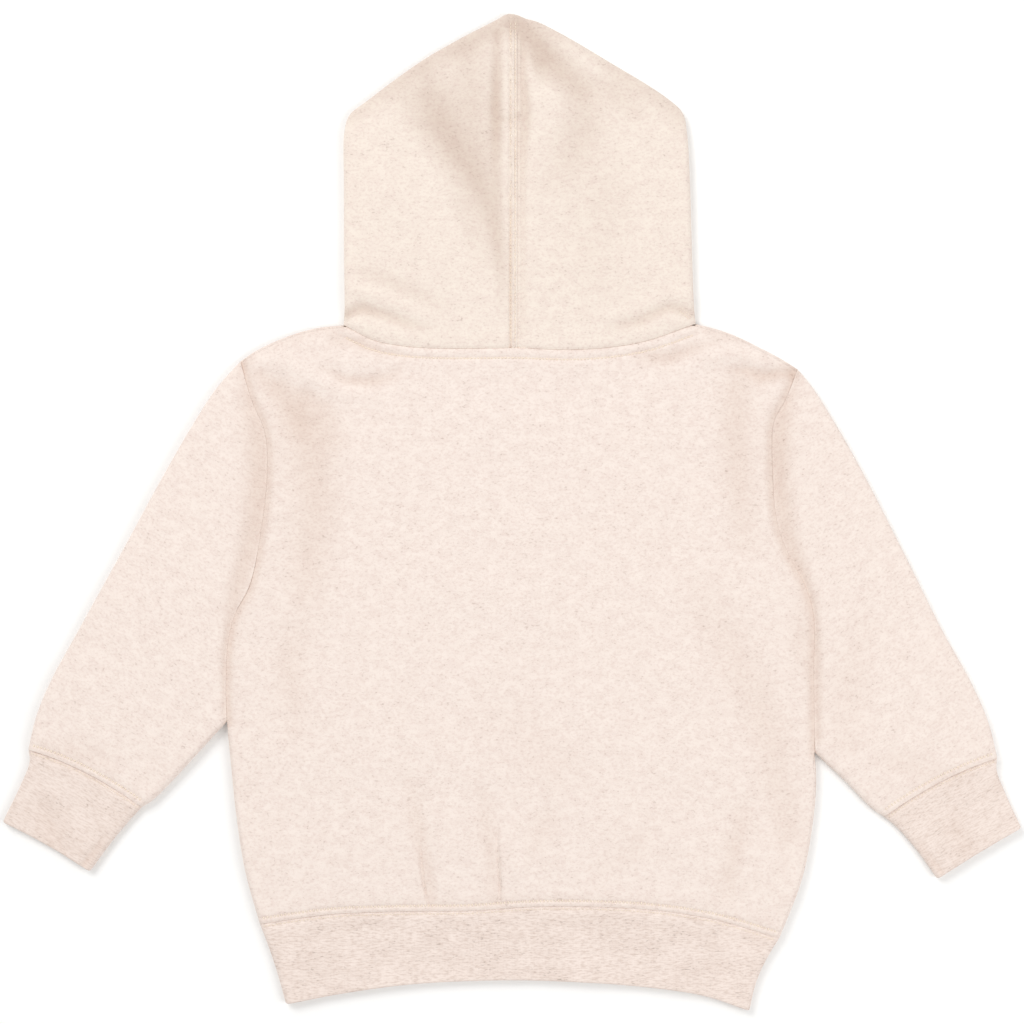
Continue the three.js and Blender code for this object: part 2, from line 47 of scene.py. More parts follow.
# Cloth walls, the gap between two pieces at a seam, and the height of the laid garment over both layers.
FLEECE_WALL = 2.0
RIB_WALL = 2.4
SEAM_GAP = 0.02
BODY_HEIGHT = 7.1
SLEEVE_HEIGHT = 7.4
HOOD_HEIGHT = 7.5
RIB_HEIGHT = 6.1

# Limits of the air between the layers, and what is left of it where the lower layer lifts.
LEAST_AIR = 0.3
MOST_AIR = 5.8
AIR_OVER_LIFT = 0.05
# Radius of the cloth where it turns round a side fold.
FOLD_RADIUS = 3.5

# The rib's depth from its seam to its folded edge, and the share of its wall that is left at that edge.
RIB_DEPTH = 46
THINNEST_EDGE = 0.12

# How deep the body sinks along its armholes and above its waistband, and how far that reaches.
ARMHOLE_DIP = 2.0
ARMHOLE_REACH = 3.9
HEM_DIP = 0.4
HEM_REACH = 7

# The round fold at a side of the body ends at the underarm, from this far below it to this far above.
FOLD_END_BELOW = 3
FOLD_END_ABOVE = 0.5
# Where the back meets the front, in degrees round the fold from underneath.
SIDE_SEAM_ANGLE = {"left": 96, "right": 150}
SHOULDER_SEAM_ANGLE = 140
# The hood's side starts this far above the corner of the neckline.
NECK_CORNER_LIFT = 0.05

# The plan's seams are drawn in short spans, in the shares that the pieces divide them by.
SHOULDER_SPANS = 40
HALF_NECK_SPANS = 48
ARMHOLE_SPANS = 80
SIDE_SPANS = 48
BODY_COLUMNS = 2 * (SHOULDER_SPANS + HALF_NECK_SPANS)
NECK_CORNER = SHOULDER_SPANS / BODY_COLUMNS
FREE_SPANS = 96
HALF_GAP = SEAM_GAP / 2

# Lengths and widths that the meshes are divided by.
BODY_LENGTH = 345
BODY_MIDDLE_WIDTH = 216
SHOULDER_WIDTH = 70
SLEEVE_LENGTH = 190
HOOD_LENGTH = 255
HOOD_WIDTH = 105

# Spacing of the mesh: the back, the front that lies on the surface, sleeves and hood, and the rib.
TOP_SPACING = 2.6
UNDER_SPACING = 6.0
FINE_SPACING = 2.2
RIB_SPACING = 1.8
# Columns on top of and underneath each tube, and underneath half the hood.
SLEEVE_COLUMNS = (71, 25)
CUFF_COLUMNS = (41, 21)
WAISTBAND_COLUMNS = (151, 61)
HOOD_UNDER_COLUMNS = 22
FOLD_STEPS = 8
QUARTER_STEPS = 7
QUARTER = np.linspace(0, 1, QUARTER_STEPS + 1)[:-1]
# Shares of the body's width where its sharp creases run, among fine columns this far to each side.
CREASE_SHARES = (0.320, 0.464)
CREASE_HALF_WIDTH = 0.022
CREASE_COLUMNS = 25
# Distances from a seam at which the mesh beside it has rows.
SEAM_STEPS = [0.0, 0.1, 0.3, 0.7, 1.2, 1.7, 2.2, 2.8, 3.4, 4.0, 4.5, 5.0, 5.8, 6.8]

BODY_SECTIONS = {
    "leftX": [
        -154.3, -163, -168.6, -171.8, -174.2, -174.8, -173.5,
        -169.5, -160, -152.8, -149.6, -151, -159, -166,
    ],
    "leftY": [-251.5, -220, -185, -154, -128, -104, -80, -63, -44, -8, 22, 49, 68, 92.2],
    "rightX": [163.6, 177.5, 183.8, 186, 185.2, 184.4, 184, 178.5, 170.5, 162.4, 159.2, 160, 167.5, 174.6],
    "rightY": [-260.3, -224, -191, -166, -147, -100, -62, -44, -29, -8, 22, 55, 69.5, 87.4],
}
UNDERARM_ROW = 4

SHOULDERS = {
    "leftX": [-103, -120, -134.5, -148, -158, -166],
    "leftY": [114.3, 112.3, 108.3, 102.8, 97.6, 92.2],
    "rightX": [112.3, 128, 138.5, 149, 162.6, 174.6],
    "rightY": [115, 110.8, 106.8, 101.6, 94.6, 87.4],
}

BACK_NECK = {
    "x": [-103, -84, -63, -38, 3.7, 35, 58, 82, 112.3],
    "y": [114.3, 104.8, 101, 99.9, 100.1, 99.1, 100.4, 104.5, 115],
}
FRONT_NECK = {
    "x": [-103, -90, -67, -34, 3.7, 42, 76, 99, 112.3],
    "y": [114.3, 93, 67, 51, 47, 51, 67, 93, 115],
}
NECK_MIDDLE_ROW = 4

WAISTBAND_SECTIONS = {
    "seamX": [-154.3, -112.5, -70, -25, 16.2, 75.3, 121, 163.6],
    "seamY": [-251.5, -245.7, -243.8, -243.3, -240.8, -242, -248, -260.3],
    "hemX": [-138.2, -104, -66, -24, 14, 70, 116, 145.2],
    "hemY": [-300.8, -294.3, -289, -286.5, -286.3, -289.2, -295.4, -304.9],
}
WAISTBAND_NIP = {"left": 1, "right": 3.2}

SLEEVES = {
    "left": {
        "outerX": [-166, -180, -192, -211.4, -238, -265, -281, -290.5, -295.6],
        "outerY": [92.2, 76.5, 58.5, 25.3, -23.5, -72.3, -101.5, -124, -145],
        "innerX": [-174.2, -179, -185.7, -193, -202, -210, -216, -221, -226],
        "innerY": [-128, -133.2, -140.6, -148.6, -158.5, -167, -173, -177.4, -180.2],
    },
    "right": {
        "outerX": [174.6, 184.5, 194, 213.8, 238.8, 263, 280, 291, 296.6],
        "outerY": [87.4, 75, 60, 25.3, -23.5, -72.3, -103, -128, -150],
        "innerX": [185.2, 190, 195.5, 201.6, 208, 214, 218.5, 222.5, 227],
        "innerY": [-147, -151.8, -157, -162.6, -169.2, -175.6, -180, -183.4, -186],
    },
}
CUFFS = {
    "left": {
        "outerX": [-295.6, -295, -301, -311.4],
        "outerY": [-145, -153, -168, -189.5],
        "innerX": [-226, -233.5, -245, -258],
        "innerY": [-180.2, -188.3, -202, -219.8],
        "bow": [4, 3.6, 2.4, 1.4],
    },
    "right": {
        "outerX": [296.6, 296.4, 301.5, 311.4],
        "outerY": [-150, -158, -171.5, -193],
        "innerX": [227, 235, 246.5, 260],
        "innerY": [-186, -192.6, -205.5, -224.3],
        "bow": [3.6, 3.2, 2.2, 0.6],
    },
}
# The knit's courses run across each piece. This is how far, in degrees, they are turned on the sleeves.
SLEEVE_GRAIN = {"left": -28, "right": 28}

HOOD_EDGES = {
    "leftX": [-103, -102.4, -102.7, -102.7, -102.5, -99.5, -89.4, -56, -32, -10, -2.5, 3.7],
    "leftY": [114.3, 124, 160, 200, 232, 242.6, 250.8, 275.4, 289.4, 300.7, 304.7, 303.9],
    "rightX": [112.3, 111.3, 110, 108.7, 107, 104.6, 95, 57.6, 29, 15, 8.8, 3.7],
    "rightY": [115, 125, 160, 204, 231.5, 243.6, 252.9, 276.3, 293, 299.9, 301.6, 303.9],
}
HOOD_SEAM = {"x": 3.7, "turnY": 240, "tipY": 303.9}
FACE_OPENING = {"topY": 205, "halfGap": 1.7}

# Folds. Each runs through its stations: x, y, half width and depth. The depth of a ridge is positive.
FOLDS = {
    "hood_valley": [
        (-52, 268, 9, -1.2), (-50, 255, 12, -2.2), (-46, 240, 13, -2.8), (-35, 222, 12, -2.9),
        (-25, 208, 10, -2.8), (-16, 192, 8, -2.4), (-10, 170, 6, -1.8), (-5, 146, 5, -1.1),
        (-3, 124, 4, -0.3),
    ],
    "hood_valley_bank": [
        (-27, 276, 13, -1.3), (-24, 248, 14, -1.6), (-16, 220, 9, -1.1), (-10, 196, 6, -0.3),
    ],
    "hood_valley_outer": [(-68, 262, 8, -0.5), (-65, 250, 8, -0.7), (-60, 236, 6, -0.2)],
    "hood_left_crown": [
        (-92, 228, 15, 0.6), (-78, 200, 17, 1.2), (-52, 168, 15, 1.0), (-32, 140, 12, 0.3),
    ],
    "hood_tip_trough": [
        (4, 297, 4.5, -2.6), (12, 289, 6, -3.2), (19.5, 280, 7, -3.3), (29, 270, 8.5, -2.6),
        (39, 260, 10, -1.8),
    ],
    "hood_tip_under": [(9, 281, 4, -0.9), (16, 273, 5, -1.6), (19, 264, 5, -0.9)],
    "hood_valley_tail": [
        (-34, 198, 7, -0.5), (-28, 184, 8, -1.0), (-22, 167, 8, -0.8), (-17, 149, 7, -0.4),
    ],
    "hood_tip_sag": [(-34, 281, 8, -0.5), (-14, 291, 8, -1.0), (-2, 297, 7, -1.4)],
    "hood_right_hollow": [
        (46, 252, 11, -0.9), (43, 236, 13, -1.3), (36, 218, 13, -1.0), (24, 202, 10, -0.4),
    ],
    "hood_tip_ridge": [(17, 262, 4, 0.3), (22, 251, 5, 0.7), (24, 240, 5, 0.3)],
    "hood_slope_ridge": [(32, 286, 4, 0.6), (45, 276, 5, 1.0), (56, 266, 5, 0.5)],
    "hood_slope_shade": [(56, 262, 6, -0.7), (64, 255, 7, -1.0), (76, 243, 8, -0.6)],
    "hood_right_crown": [(70, 226, 17, 0.3), (88, 185, 18, 0.4), (74, 150, 16, 0.2)],
    "hood_right_sag": [(56, 232, 26, -0.3), (58, 196, 32, -0.6), (54, 152, 28, -0.4)],
    "beside_middle_left": [
        (-9, 292, 2.8, -1.3), (-9.2, 270, 3.4, -2.2), (-9.8, 246, 3.7, -2.8), (-9.4, 230, 3.5, -2.3),
        (-9.6, 212, 3.2, -1.3), (-9, 184, 2.8, -0.7), (-8, 120, 2.2, -0.3),
    ],
    "beside_middle_right": [
        (6, 290, 2.4, -1.2), (6, 268, 2.8, -1.8), (8, 242, 4.4, -2.0), (6.4, 222, 3.0, -1.5),
        (6, 200, 2.2, -1.0), (6.2, 150, 2.2, -0.7), (6.2, 108, 2.0, -0.5),
    ],
    "middle_pinch": [(-8, 240, 2, -0.8), (-2, 239, 2, -0.8), (5, 242, 2, -0.6)],
    "hood_base_left_shade": [(-89, 145, 6, -0.7), (-68, 137, 6, -1.0), (-44, 127, 6, -0.5)],
    "hood_base_left_ridge": [
        (-102, 137, 4.5, 0.7), (-92, 135, 5, 1.4), (-77, 129, 5.5, 1.3), (-54, 119, 5, 0.5),
    ],
    "hood_base_left_trough": [
        (-103, 118, 2.5, -2.2), (-98, 122, 3.2, -2.4), (-91, 124.5, 3.6, -2.4), (-77, 120.5, 3.6, -1.9),
        (-65, 115.5, 3.6, -1.5), (-52, 112.5, 3.4, -0.6),
    ],
    "hood_base_left_roll": [(-97, 115.5, 3, 0.7), (-83, 112, 3.5, 0.8), (-66, 108, 3.5, 0.4)],
    "hood_base_right_ridge": [
        (110, 131, 5, 0.8), (95, 129.5, 5, 1.2), (80, 124, 5, 1.0), (60, 118, 5, 0.4),
    ],
    "hood_base_right_trough": [
        (111, 120, 2.8, -1.6), (104, 123, 3.2, -2.0), (96.5, 125.5, 3.4, -2.2), (87, 121.5, 3.6, -1.9),
        (77, 116.5, 3.6, -1.6), (61, 113.5, 3.6, -0.7),
    ],
    "hood_base_right_roll": [(106, 116, 3.5, 0.5), (94, 117, 4, 0.9), (82, 110, 4, 0.5)],
    "under_neck_left": [
        (-108, 105, 4, -1.0), (-91, 103, 4.5, -1.4), (-80, 98, 4, -0.9), (-62, 95, 3, -0.3),
    ],
    "under_neck_right": [
        (76, 94, 4, -0.5), (86, 94.5, 4.5, -1.5), (96, 94, 4.5, -1.7), (109, 98, 4, -1.4),
        (123, 102.5, 3.5, -0.7),
    ],
    "neck_right_ridge": [(96, 84, 5, 0.3), (110, 89, 5, 0.9), (128, 97, 5, 0.8), (142, 96, 5, 0.3)],
    "shoulder_left_smile": [
        (-116, 87, 3.5, -0.9), (-102, 80.5, 4, -1.7), (-89, 79.5, 4, -1.9), (-77, 81.5, 4, -1.4),
        (-69, 86.5, 3.5, -0.5),
    ],
    "shoulder_left_pad": [(-104, 92, 7, 0.6), (-90, 90, 7, 0.6)],
    "shoulder_left_ridge": [
        (-150, 94, 6, 0.6), (-134, 90, 7, 1.4), (-117, 79, 6.5, 1.4), (-104, 73, 6, 1.0),
        (-82, 70, 6, 0.4),
    ],
    "shoulder_left_shade": [
        (-153, 83, 5, -1.2), (-144, 76, 8, -1.6), (-136, 67, 10, -1.5), (-130, 56, 11, -1.2),
    ],
    "shoulder_left_shade_inner": [(-124, 72, 7, -1.0), (-115, 64, 8, -1.1), (-112, 48, 11, -0.9)],
    "back_left_shade": [
        (-130, 58, 11, -1.0), (-122, 30, 14, -1.5), (-119, 5, 14, -1.3), (-123, -20, 14, -1.2),
        (-126, -46, 12, -0.8),
    ],
    "back_left_low": [(-131, -66, 11, -0.4), (-136, -96, 10, -0.8), (-132, -130, 10, -0.4)],
    "shoulder_right_ridge": [(120, 96, 6, 0.4), (142, 94, 6, 0.9), (158, 91, 5, 0.6)],
    "shoulder_right_crease": [
        (132, 89, 3.5, -0.8), (144, 86.5, 4, -1.8), (153, 82.8, 4.5, -2.2), (162, 84.5, 4, -2.0),
        (172, 84, 3.5, -1.6),
    ],
    "back_right_shade": [
        (137, 76, 9, -1.2), (136, 55, 10, -1.3), (138, 20, 10, -1.2), (142, -18, 9, -0.6),
    ],
    "back_right_low": [
        (116, -52, 14, -0.4), (132, -82, 15, -0.7), (147, -110, 14, -0.8), (158, -140, 12, -0.8),
        (168, -196, 9, -0.7),
    ],
    "lower_left_fold": [
        (-62, -164, 5, -0.4), (-57, -190, 6, -0.9), (-51, -222, 5, -1.1), (-48, -238, 4, -0.8),
    ],
    "lower_left_bulge": [(-44, -188, 8, 0.4), (-40, -226, 8, 0.5)],
    "lower_middle_fold": [(-18, -172, 6, -0.4), (-14, -200, 6, -0.8), (-10, -236, 5, -0.8)],
    "lower_middle_ridge": [(0, -196, 5, 0.3), (1, -222, 5, 0.6)],
    "lower_centre_shade": [(22, -188, 8, -0.5), (15, -202, 8, -0.5), (8, -214, 7, -0.1)],
    "lower_right_fold": [(141, -182, 6, -0.6), (136, -205, 6, -1.0), (131, -232, 6, -0.7)],
    "lower_right_shade": [(84, -198, 8, -0.3), (66, -210, 9, -0.4), (50, -222, 8, -0.1)],
    "right_side_shade": [(176, -56, 5, -0.4), (176, -78, 6, -0.8), (178, -98, 5, -0.3)],
    "mid_back_dip": [(-6, -122, 20, -0.4), (26, -152, 18, -0.4)],
    "mid_back_swell": [(20, 20, 60, 0.5), (10, -60, 60, 0.5)],
    "left_cuff_dent": [(-289, -182, 7, -0.5), (-282, -192, 7, -0.9), (-276, -206, 6, -0.7)],
    "left_cuff_edge": [(-248, -198, 2.2, -0.6), (-254, -206, 2.2, -1.2), (-261, -215, 2.2, -1.4)],
    "right_cuff_dent": [(268, -184, 6, -0.4), (273, -195, 7, -0.8), (278, -205, 6, -0.7)],
    "right_cuff_edge": [(248, -201, 2, -0.6), (255, -211, 2, -1.1), (262, -219, 2, -1.2)],
    "left_sleeve_drag": [(-250, -152, 8, -0.5), (-268, -146, 8, -0.7), (-286, -143, 7, -0.4)],
    "right_sleeve_drag": [(232, -152, 8, -0.5), (250, -158, 8, -0.6), (270, -161, 7, -0.3)],
    "right_sleeve_shade": [(214, -70, 11, -0.3), (206, -108, 12, -0.6), (204, -140, 10, -0.4)],
}

# Sharp creases that the seam under them presses into the lower back, and short ones at the corners.
CREASES = {
    "lower_left": [
        (-56.4, -200, 0.9, -0.2), (-55.6, -212, 0.8, -1.1), (-54.2, -224, 0.75, -1.6),
        (-52.6, -233, 0.75, -1.7), (-51, -239.5, 0.7, -0.6),
    ],
    "lower_middle": [
        (-9.4, -190, 0.9, -0.2), (-9, -204, 0.8, -0.9), (-8, -218, 0.75, -1.5),
        (-7.4, -229, 0.75, -1.5), (-7.6, -238, 0.7, -0.5),
    ],
    "lower_middle_lip": [(-6.4, -200, 1.4, 0.2), (-5, -220, 1.6, 0.5), (-4.6, -234, 1.4, 0.2)],
    "lower_left_lip": [(-58.6, -206, 1.4, 0.2), (-57.2, -222, 1.6, 0.5), (-55.4, -235, 1.4, 0.2)],
    "tip_right": [
        (7, 287, 1.0, -0.5), (12.5, 280.5, 1.2, -1.0), (18, 275.5, 1.2, -0.9), (21, 271, 1.0, -0.3),
    ],
    "tip_pucker": [(5, 300, 1.2, -1.0), (8, 296, 1.6, -1.2), (11, 292, 1.4, -0.5)],
    "corner_left": [(-104, 114.5, 1.6, -1.6), (-101.5, 118, 1.6, -1.6), (-98, 122.5, 1.2, -0.4)],
    "shoulder_right": [(137, 88, 1.1, -0.2), (146, 86.6, 1.3, -0.6), (158, 84, 1.2, -0.3)],
    "shoulder_left": [(-141, 100, 1.1, -0.2), (-132, 94, 1.2, -0.4), (-124, 89, 1.1, -0.2)],
}

# On the sleeves the cloth sinks in a band beside the armhole, which narrows towards the underarm.
SLEEVE_BANDS = {
    "left": [
        (-164, 82, 4.5, -0.6), (-160, 66, 6.5, -1.4), (-155, 46, 8, -1.8), (-154, 20, 8.5, -2.0),
        (-157, -8, 7.8, -1.9), (-164, -36, 6, -1.7), (-170.5, -56, 4.6, -1.4), (-174.5, -90, 3.6, -1.2),
        (-174.5, -124, 3, -0.9),
    ],
    "right": [
        (174, 78, 4, -0.6), (166, 64, 6, -1.7), (162.8, 44, 7.2, -2.1), (162.8, 18, 7.2, -2.0),
        (167, -10, 6.4, -1.8), (175, -34, 5.4, -1.7), (182, -54, 4.8, -1.5), (185.5, -90, 4.2, -1.4),
        (186, -138, 3.4, -1.2),
    ],
}

# Creases in the side that lies on the surface.
UNDER_FOLDS = {
    "front_left": [(-60, -60, 10, 0.05), (-44, -96, 14, 0.14), (-22, -150, 11, 0.05)],
    "front_right": [(70, -90, 10, 0.05), (86, -138, 15, 0.15), (110, -190, 10, 0.05)],
    "front_upper_left": [(-124, 30, 8, 0.04), (-112, -2, 12, 0.12), (-92, -34, 10, 0.05)],
    "front_upper_right": [(98, 40, 9, 0.04), (76, 14, 13, 0.12), (58, -12, 9, 0.05)],
    "front_low_middle": [(20, -180, 6, 0.04), (28, -214, 8, 0.18), (33, -238, 6, 0.08)],
    "front_low_left": [(-92, -188, 6, 0.04), (-87, -220, 7, 0.17), (-84, -240, 5, 0.08)],
    "sleeve_left": [(-214, -40, 8, 0.05), (-228, -70, 10, 0.14), (-241, -98, 8, 0.05)],
    "sleeve_right": [(224, -60, 7, 0.05), (236, -90, 9, 0.13), (250, -120, 7, 0.05)],
    "hood_left": [(-62, 196, 10, 0.05), (-54, 158, 12, 0.13), (-40, 120, 9, 0.05)],
    "hood_right": [(64, 218, 10, 0.05), (58, 180, 12, 0.13), (50, 138, 9, 0.05)],
}
# At a seam the underside lifts by this share of the depth on top, with a reach of at most this.
UNDERSIDE_SHARE = 0.2
UNDERSIDE_REACH = 3

# Mask of the painted shade: seam shapes at least this wide count as hollows. This depth is a full one, and a
# ridge counts at most this.
WIDE_SEAM = 3.8
FULL_SHADE_DEPTH = 3.2
MOST_RIDGE = 0.35

# Waves of relaxed cloth and the unevenness of its knit: how many, shortest, longest and depth.
WAVE_KINDS = [(9, 45, 110, 0.09), (12, 11, 26, 0.018)]
WAVE_SEED = 7

# Half the length over which the slope of the cloth and the direction of a row are measured.
PROBE = 0.5

# Stitches: pitch, length and width. Ticks on the fleece and stitches at the neck lean, in degrees.
FLAT_STITCH = (2.1, 1.5, 0.5)
NECK_STITCH = (2.1, 1.5, 0.7)
FLEECE_TICK = (2.2, 1.7, 0.75)
RIB_STITCH = (2.4, 1.7, 0.45)
CORNER_STITCH = (1.6, 1.2, 0.4)
NECK_LEAN = 14
TICK_LEAN = 78
STITCH_UNEVENNESS = 0.12
STITCH_SEED = 5
# How far a stitch stands out of the cloth on top and sinks into it underneath, in widths of its thread.
STITCH_LIFT = 0.4
STITCH_SINK = 0.45

# Rows of stitches: how far they run from their seams, and where they start and end.
NECK_ROW = {"offset": 6.1, "margin": 5}
RIB_ROWS = {"fleece": 3.4, "rib": 1.7, "margin": 2.2, "margin_under": 3.5}
HOOD_ROWS = {"offsets": (4.5, 1.7), "y": (104, 300)}
FACE_HEM = {"offset": 14, "y": (60, 195)}
CORNER_ROWS = [[(103.5, 124.5), (109.5, 119.2)], [(102.3, 122.6), (108.3, 117.4)]]

# Sizes in millimetres of what the noise in the cloth draws, along, across and up.
FLEECE_NOISE = {
    "patch": (8, 6, 7),
    "fleck": (2.0, 1.5, 2.0),
    "dark": (2.0, 1.2, 1.8),
    "knit": (0.9, 0.7, 0.9),
    "nap": (4.2, 2.6, 3.0),
}
RIB_NOISE = {
    "patch": (16, 7, 9),
    "streak": (3.8, 1.0, 3.0),
    "dark": (2.4, 0.9, 1.8),
    "loop": (1.6, 0.8, 1.2),
}
RIB_PITCH = 1.7

FLEECE_BASE = "#F4E7DE"
HOOD_BASE = "#F2E6DA"
FLEECE_SHADE = "#E4D1C8"
FLEECE_FLECK = "#BBA99E"
CUFF_MARL = {"base": "#F3E4DB", "streak": "#D7C3B7", "fleck": "#B5A498"}
WAISTBAND_MARL = {"base": "#F5E6DD", "streak": "#D1BCB0", "fleck": "#AC9B91"}
THREAD = "#F5E8D6"
# Tints of painted shade, which darken the cloth's colour in the hollows of folds and beside wide seams.
FLEECE_PAINTED_SHADE = "#EBE2DC"
HOOD_PAINTED_SHADE = "#E6DFDB"
FLOOR = "#FDFDFC"

# The studio, in metres and watts: place, size and power of each light, the floor and the camera.
LIGHTS = {
    "key_softbox": ((-1.2, 1.3, 1.8), (1.3, 1.1), 27),
    "fill_softbox": ((1.5, -0.5, 1.7), (1.4, 1.4), 17),
}
SKY = (1.0, 0.995, 0.99, 1)
SKY_STRENGTH = 0.6
FLOOR_HALF = 6.0
FLOOR_DROP = 0.0003
CAMERA_PLACE = (0, 0.0005, 1.4818)
LENS = 85
SENSOR_WIDTH = 36


def hex_to_linear(code, alpha=1.0):
    channels = [int(code[i : i + 2], 16) / 255 for i in (1, 3, 5)]
    linear = [c / 12.92 if c <= 0.04045 else ((c + 0.055) / 1.055) ** 2.4 for c in channels]
    return (*linear, alpha)


def smoothstep(value, low, high):
    t = np.clip((value - low) / (high - low), 0, 1)
    return t * t * (3 - 2 * t)


def at(line, share):
    """The place on a line of the plan, an array of points, that lies this share of its spans along it."""
    place = np.clip(np.asarray(share, float), 0, 1) * (len(line) - 1)
    i = np.minimum(place.astype(int), len(line) - 2)
    t = (place - i)[..., None]
    return line[i] * (1 - t) + line[i + 1] * t


def moved(line, distance):
    """The line moved sideways, to the left of its own direction."""
    along = np.empty_like(line)
    along[1:-1] = line[2:] - line[:-2]
    along[0] = line[1] - line[0]
    along[-1] = line[-1] - line[-2]
    along /= np.linalg.norm(along, axis=1)[:, None]
    return line + distance * np.stack([-along[:, 1], along[:, 0]], axis=1)


def then(*lines):
    """Lines joined end to end."""
    return np.concatenate([lines[0], *[line[1:] for line in lines[1:]]])


def spline_point(knots, place):
    """Centripetal spline through the knots, read at a row number that may lie between two rows."""
    i = min(int(place), len(knots) - 2)
    t = place - i
    p1, p2 = knots[i], knots[i + 1]
    p0 = knots[i - 1] if i > 0 else 2 * p1 - p2
    p3 = knots[i + 2] if i + 2 < len(knots) else 2 * p2 - p1
    d0, d1, d2 = (np.linalg.norm(b - a) ** 0.5 for a, b in ((p0, p1), (p1, p2), (p2, p3)))
    m1 = ((p1 - p0) / d0 - (p2 - p0) / (d0 + d1) + (p2 - p1) / d1) * d1
    m2 = ((p2 - p1) / d1 - (p3 - p1) / (d1 + d2) + (p3 - p2) / d2) * d1
    return (
        (2 * t**3 - 3 * t**2 + 1) * p1
        + (t**3 - 2 * t**2 + t) * m1
        + (3 * t**2 - 2 * t**3) * p2
        + (t**3 - t**2) * m2
    )


def run_of(line):
    """How far along a line each of its points lies."""
    return np.concatenate([[0], np.cumsum(np.linalg.norm(np.diff(line, axis=0), axis=1))])


def line_through(rows, x, y, spans, first=0, last=None):
    """A smooth line through two columns of a table, in spans of equal length."""
    knots = np.array([rows[x], rows[y]], float).T
    last = len(knots) - 1 if last is None else last
    fine = np.array([spline_point(knots, place) for place in np.linspace(first, last, 4 * FREE_SPANS + 1)])
    run = run_of(fine)
    wanted = np.linspace(0, run[-1], spans + 1)
    return np.stack([np.interp(wanted, run, fine[:, 0]), np.interp(wanted, run, fine[:, 1])], axis=1)


def bowed(start, end, bow, spans):
    """A line between two points that rises by the bow at its middle."""
    t = np.linspace(0, 1, spans + 1)
    line = start + (end - start) * t[:, None]
    line[:, 1] += bow * 4 * t * (1 - t)
    return line


def patch(start, end, left, right):
    """A patch of the plan between four lines, u from left to right and v from start to end."""

    def bulge(side, v):
        return at(side, v) - (at(side, 0) * (1 - v)[..., None] + at(side, 1) * v[..., None])

    def place(u, v):
        u, v = np.broadcast_arrays(np.asarray(u, float), np.asarray(v, float))
        across = at(start, u) * (1 - v)[..., None] + at(end, u) * v[..., None]
        return across + bulge(left, v) * (1 - u)[..., None] + bulge(right, v) * u[..., None]

    return place


def nearest_on_line(points, line):
    """For each point, its distance to a line of straight spans, and which part of which span is nearest."""
    nearest = np.full(points.shape[:-1], 1e9)
    station = np.zeros(points.shape[:-1])
    for i, (a, b) in enumerate(zip(line[:-1], line[1:])):
        span = b - a
        t = np.clip(((points - a) @ span) / max(span @ span, 1e-9), 0, 1)
        distance = np.linalg.norm(points - (a + t[..., None] * span), axis=-1)
        closer = distance < nearest
        nearest = np.where(closer, distance, nearest)
        station = np.where(closer, i + t, station)
    return nearest, station


def distance_to_line(points, line):
    return nearest_on_line(points, line)[0]


def hump(distance, reach):
    return np.exp(-((distance / reach) ** 2))


def relief_of(folds, points):
    """The height that folds add. Width and depth change evenly from one station of a fold to the next."""
    relief = np.zeros(points.shape[:-1])
    for stations in folds.values():
        x, y, reach, depth = np.array(stations, float).T
        line = np.stack([x, y], axis=1)
        widest = 3 * reach.max()
        near = np.all((points > line.min(0) - widest) & (points < line.max(0) + widest), axis=-1)
        if not near.any():
            continue
        distance, station = nearest_on_line(points[near], line)
        steps = np.arange(len(line))
        relief[near] += np.interp(station, steps, depth) * hump(distance, np.interp(station, steps, reach))
    return relief


def round_fold(angle, wall, inside):
    """Distance from the edge and share of the height, for an angle of 0 underneath to 180 on top."""
    radius = FOLD_RADIUS - wall if inside else FOLD_RADIUS
    bend = math.radians(angle)
    return FOLD_RADIUS - radius * math.sin(bend), (1 - math.cos(bend)) / 2


def steps_between(length, spacing, fine_start, fine_end):
    """Shares of a length, evenly spaced but for short steps beside a seam."""
    start = [s for s in SEAM_STEPS if s < length / 3] if fine_start else [0.0]
    end = [length - s for s in SEAM_STEPS if s < length / 3][::-1] if fine_end else [length]
    count = max(2, round((end[0] - start[-1]) / spacing))
    middle = np.linspace(start[-1], end[0], count + 1)[1:-1]
    return np.concatenate([start, middle, end]) / length


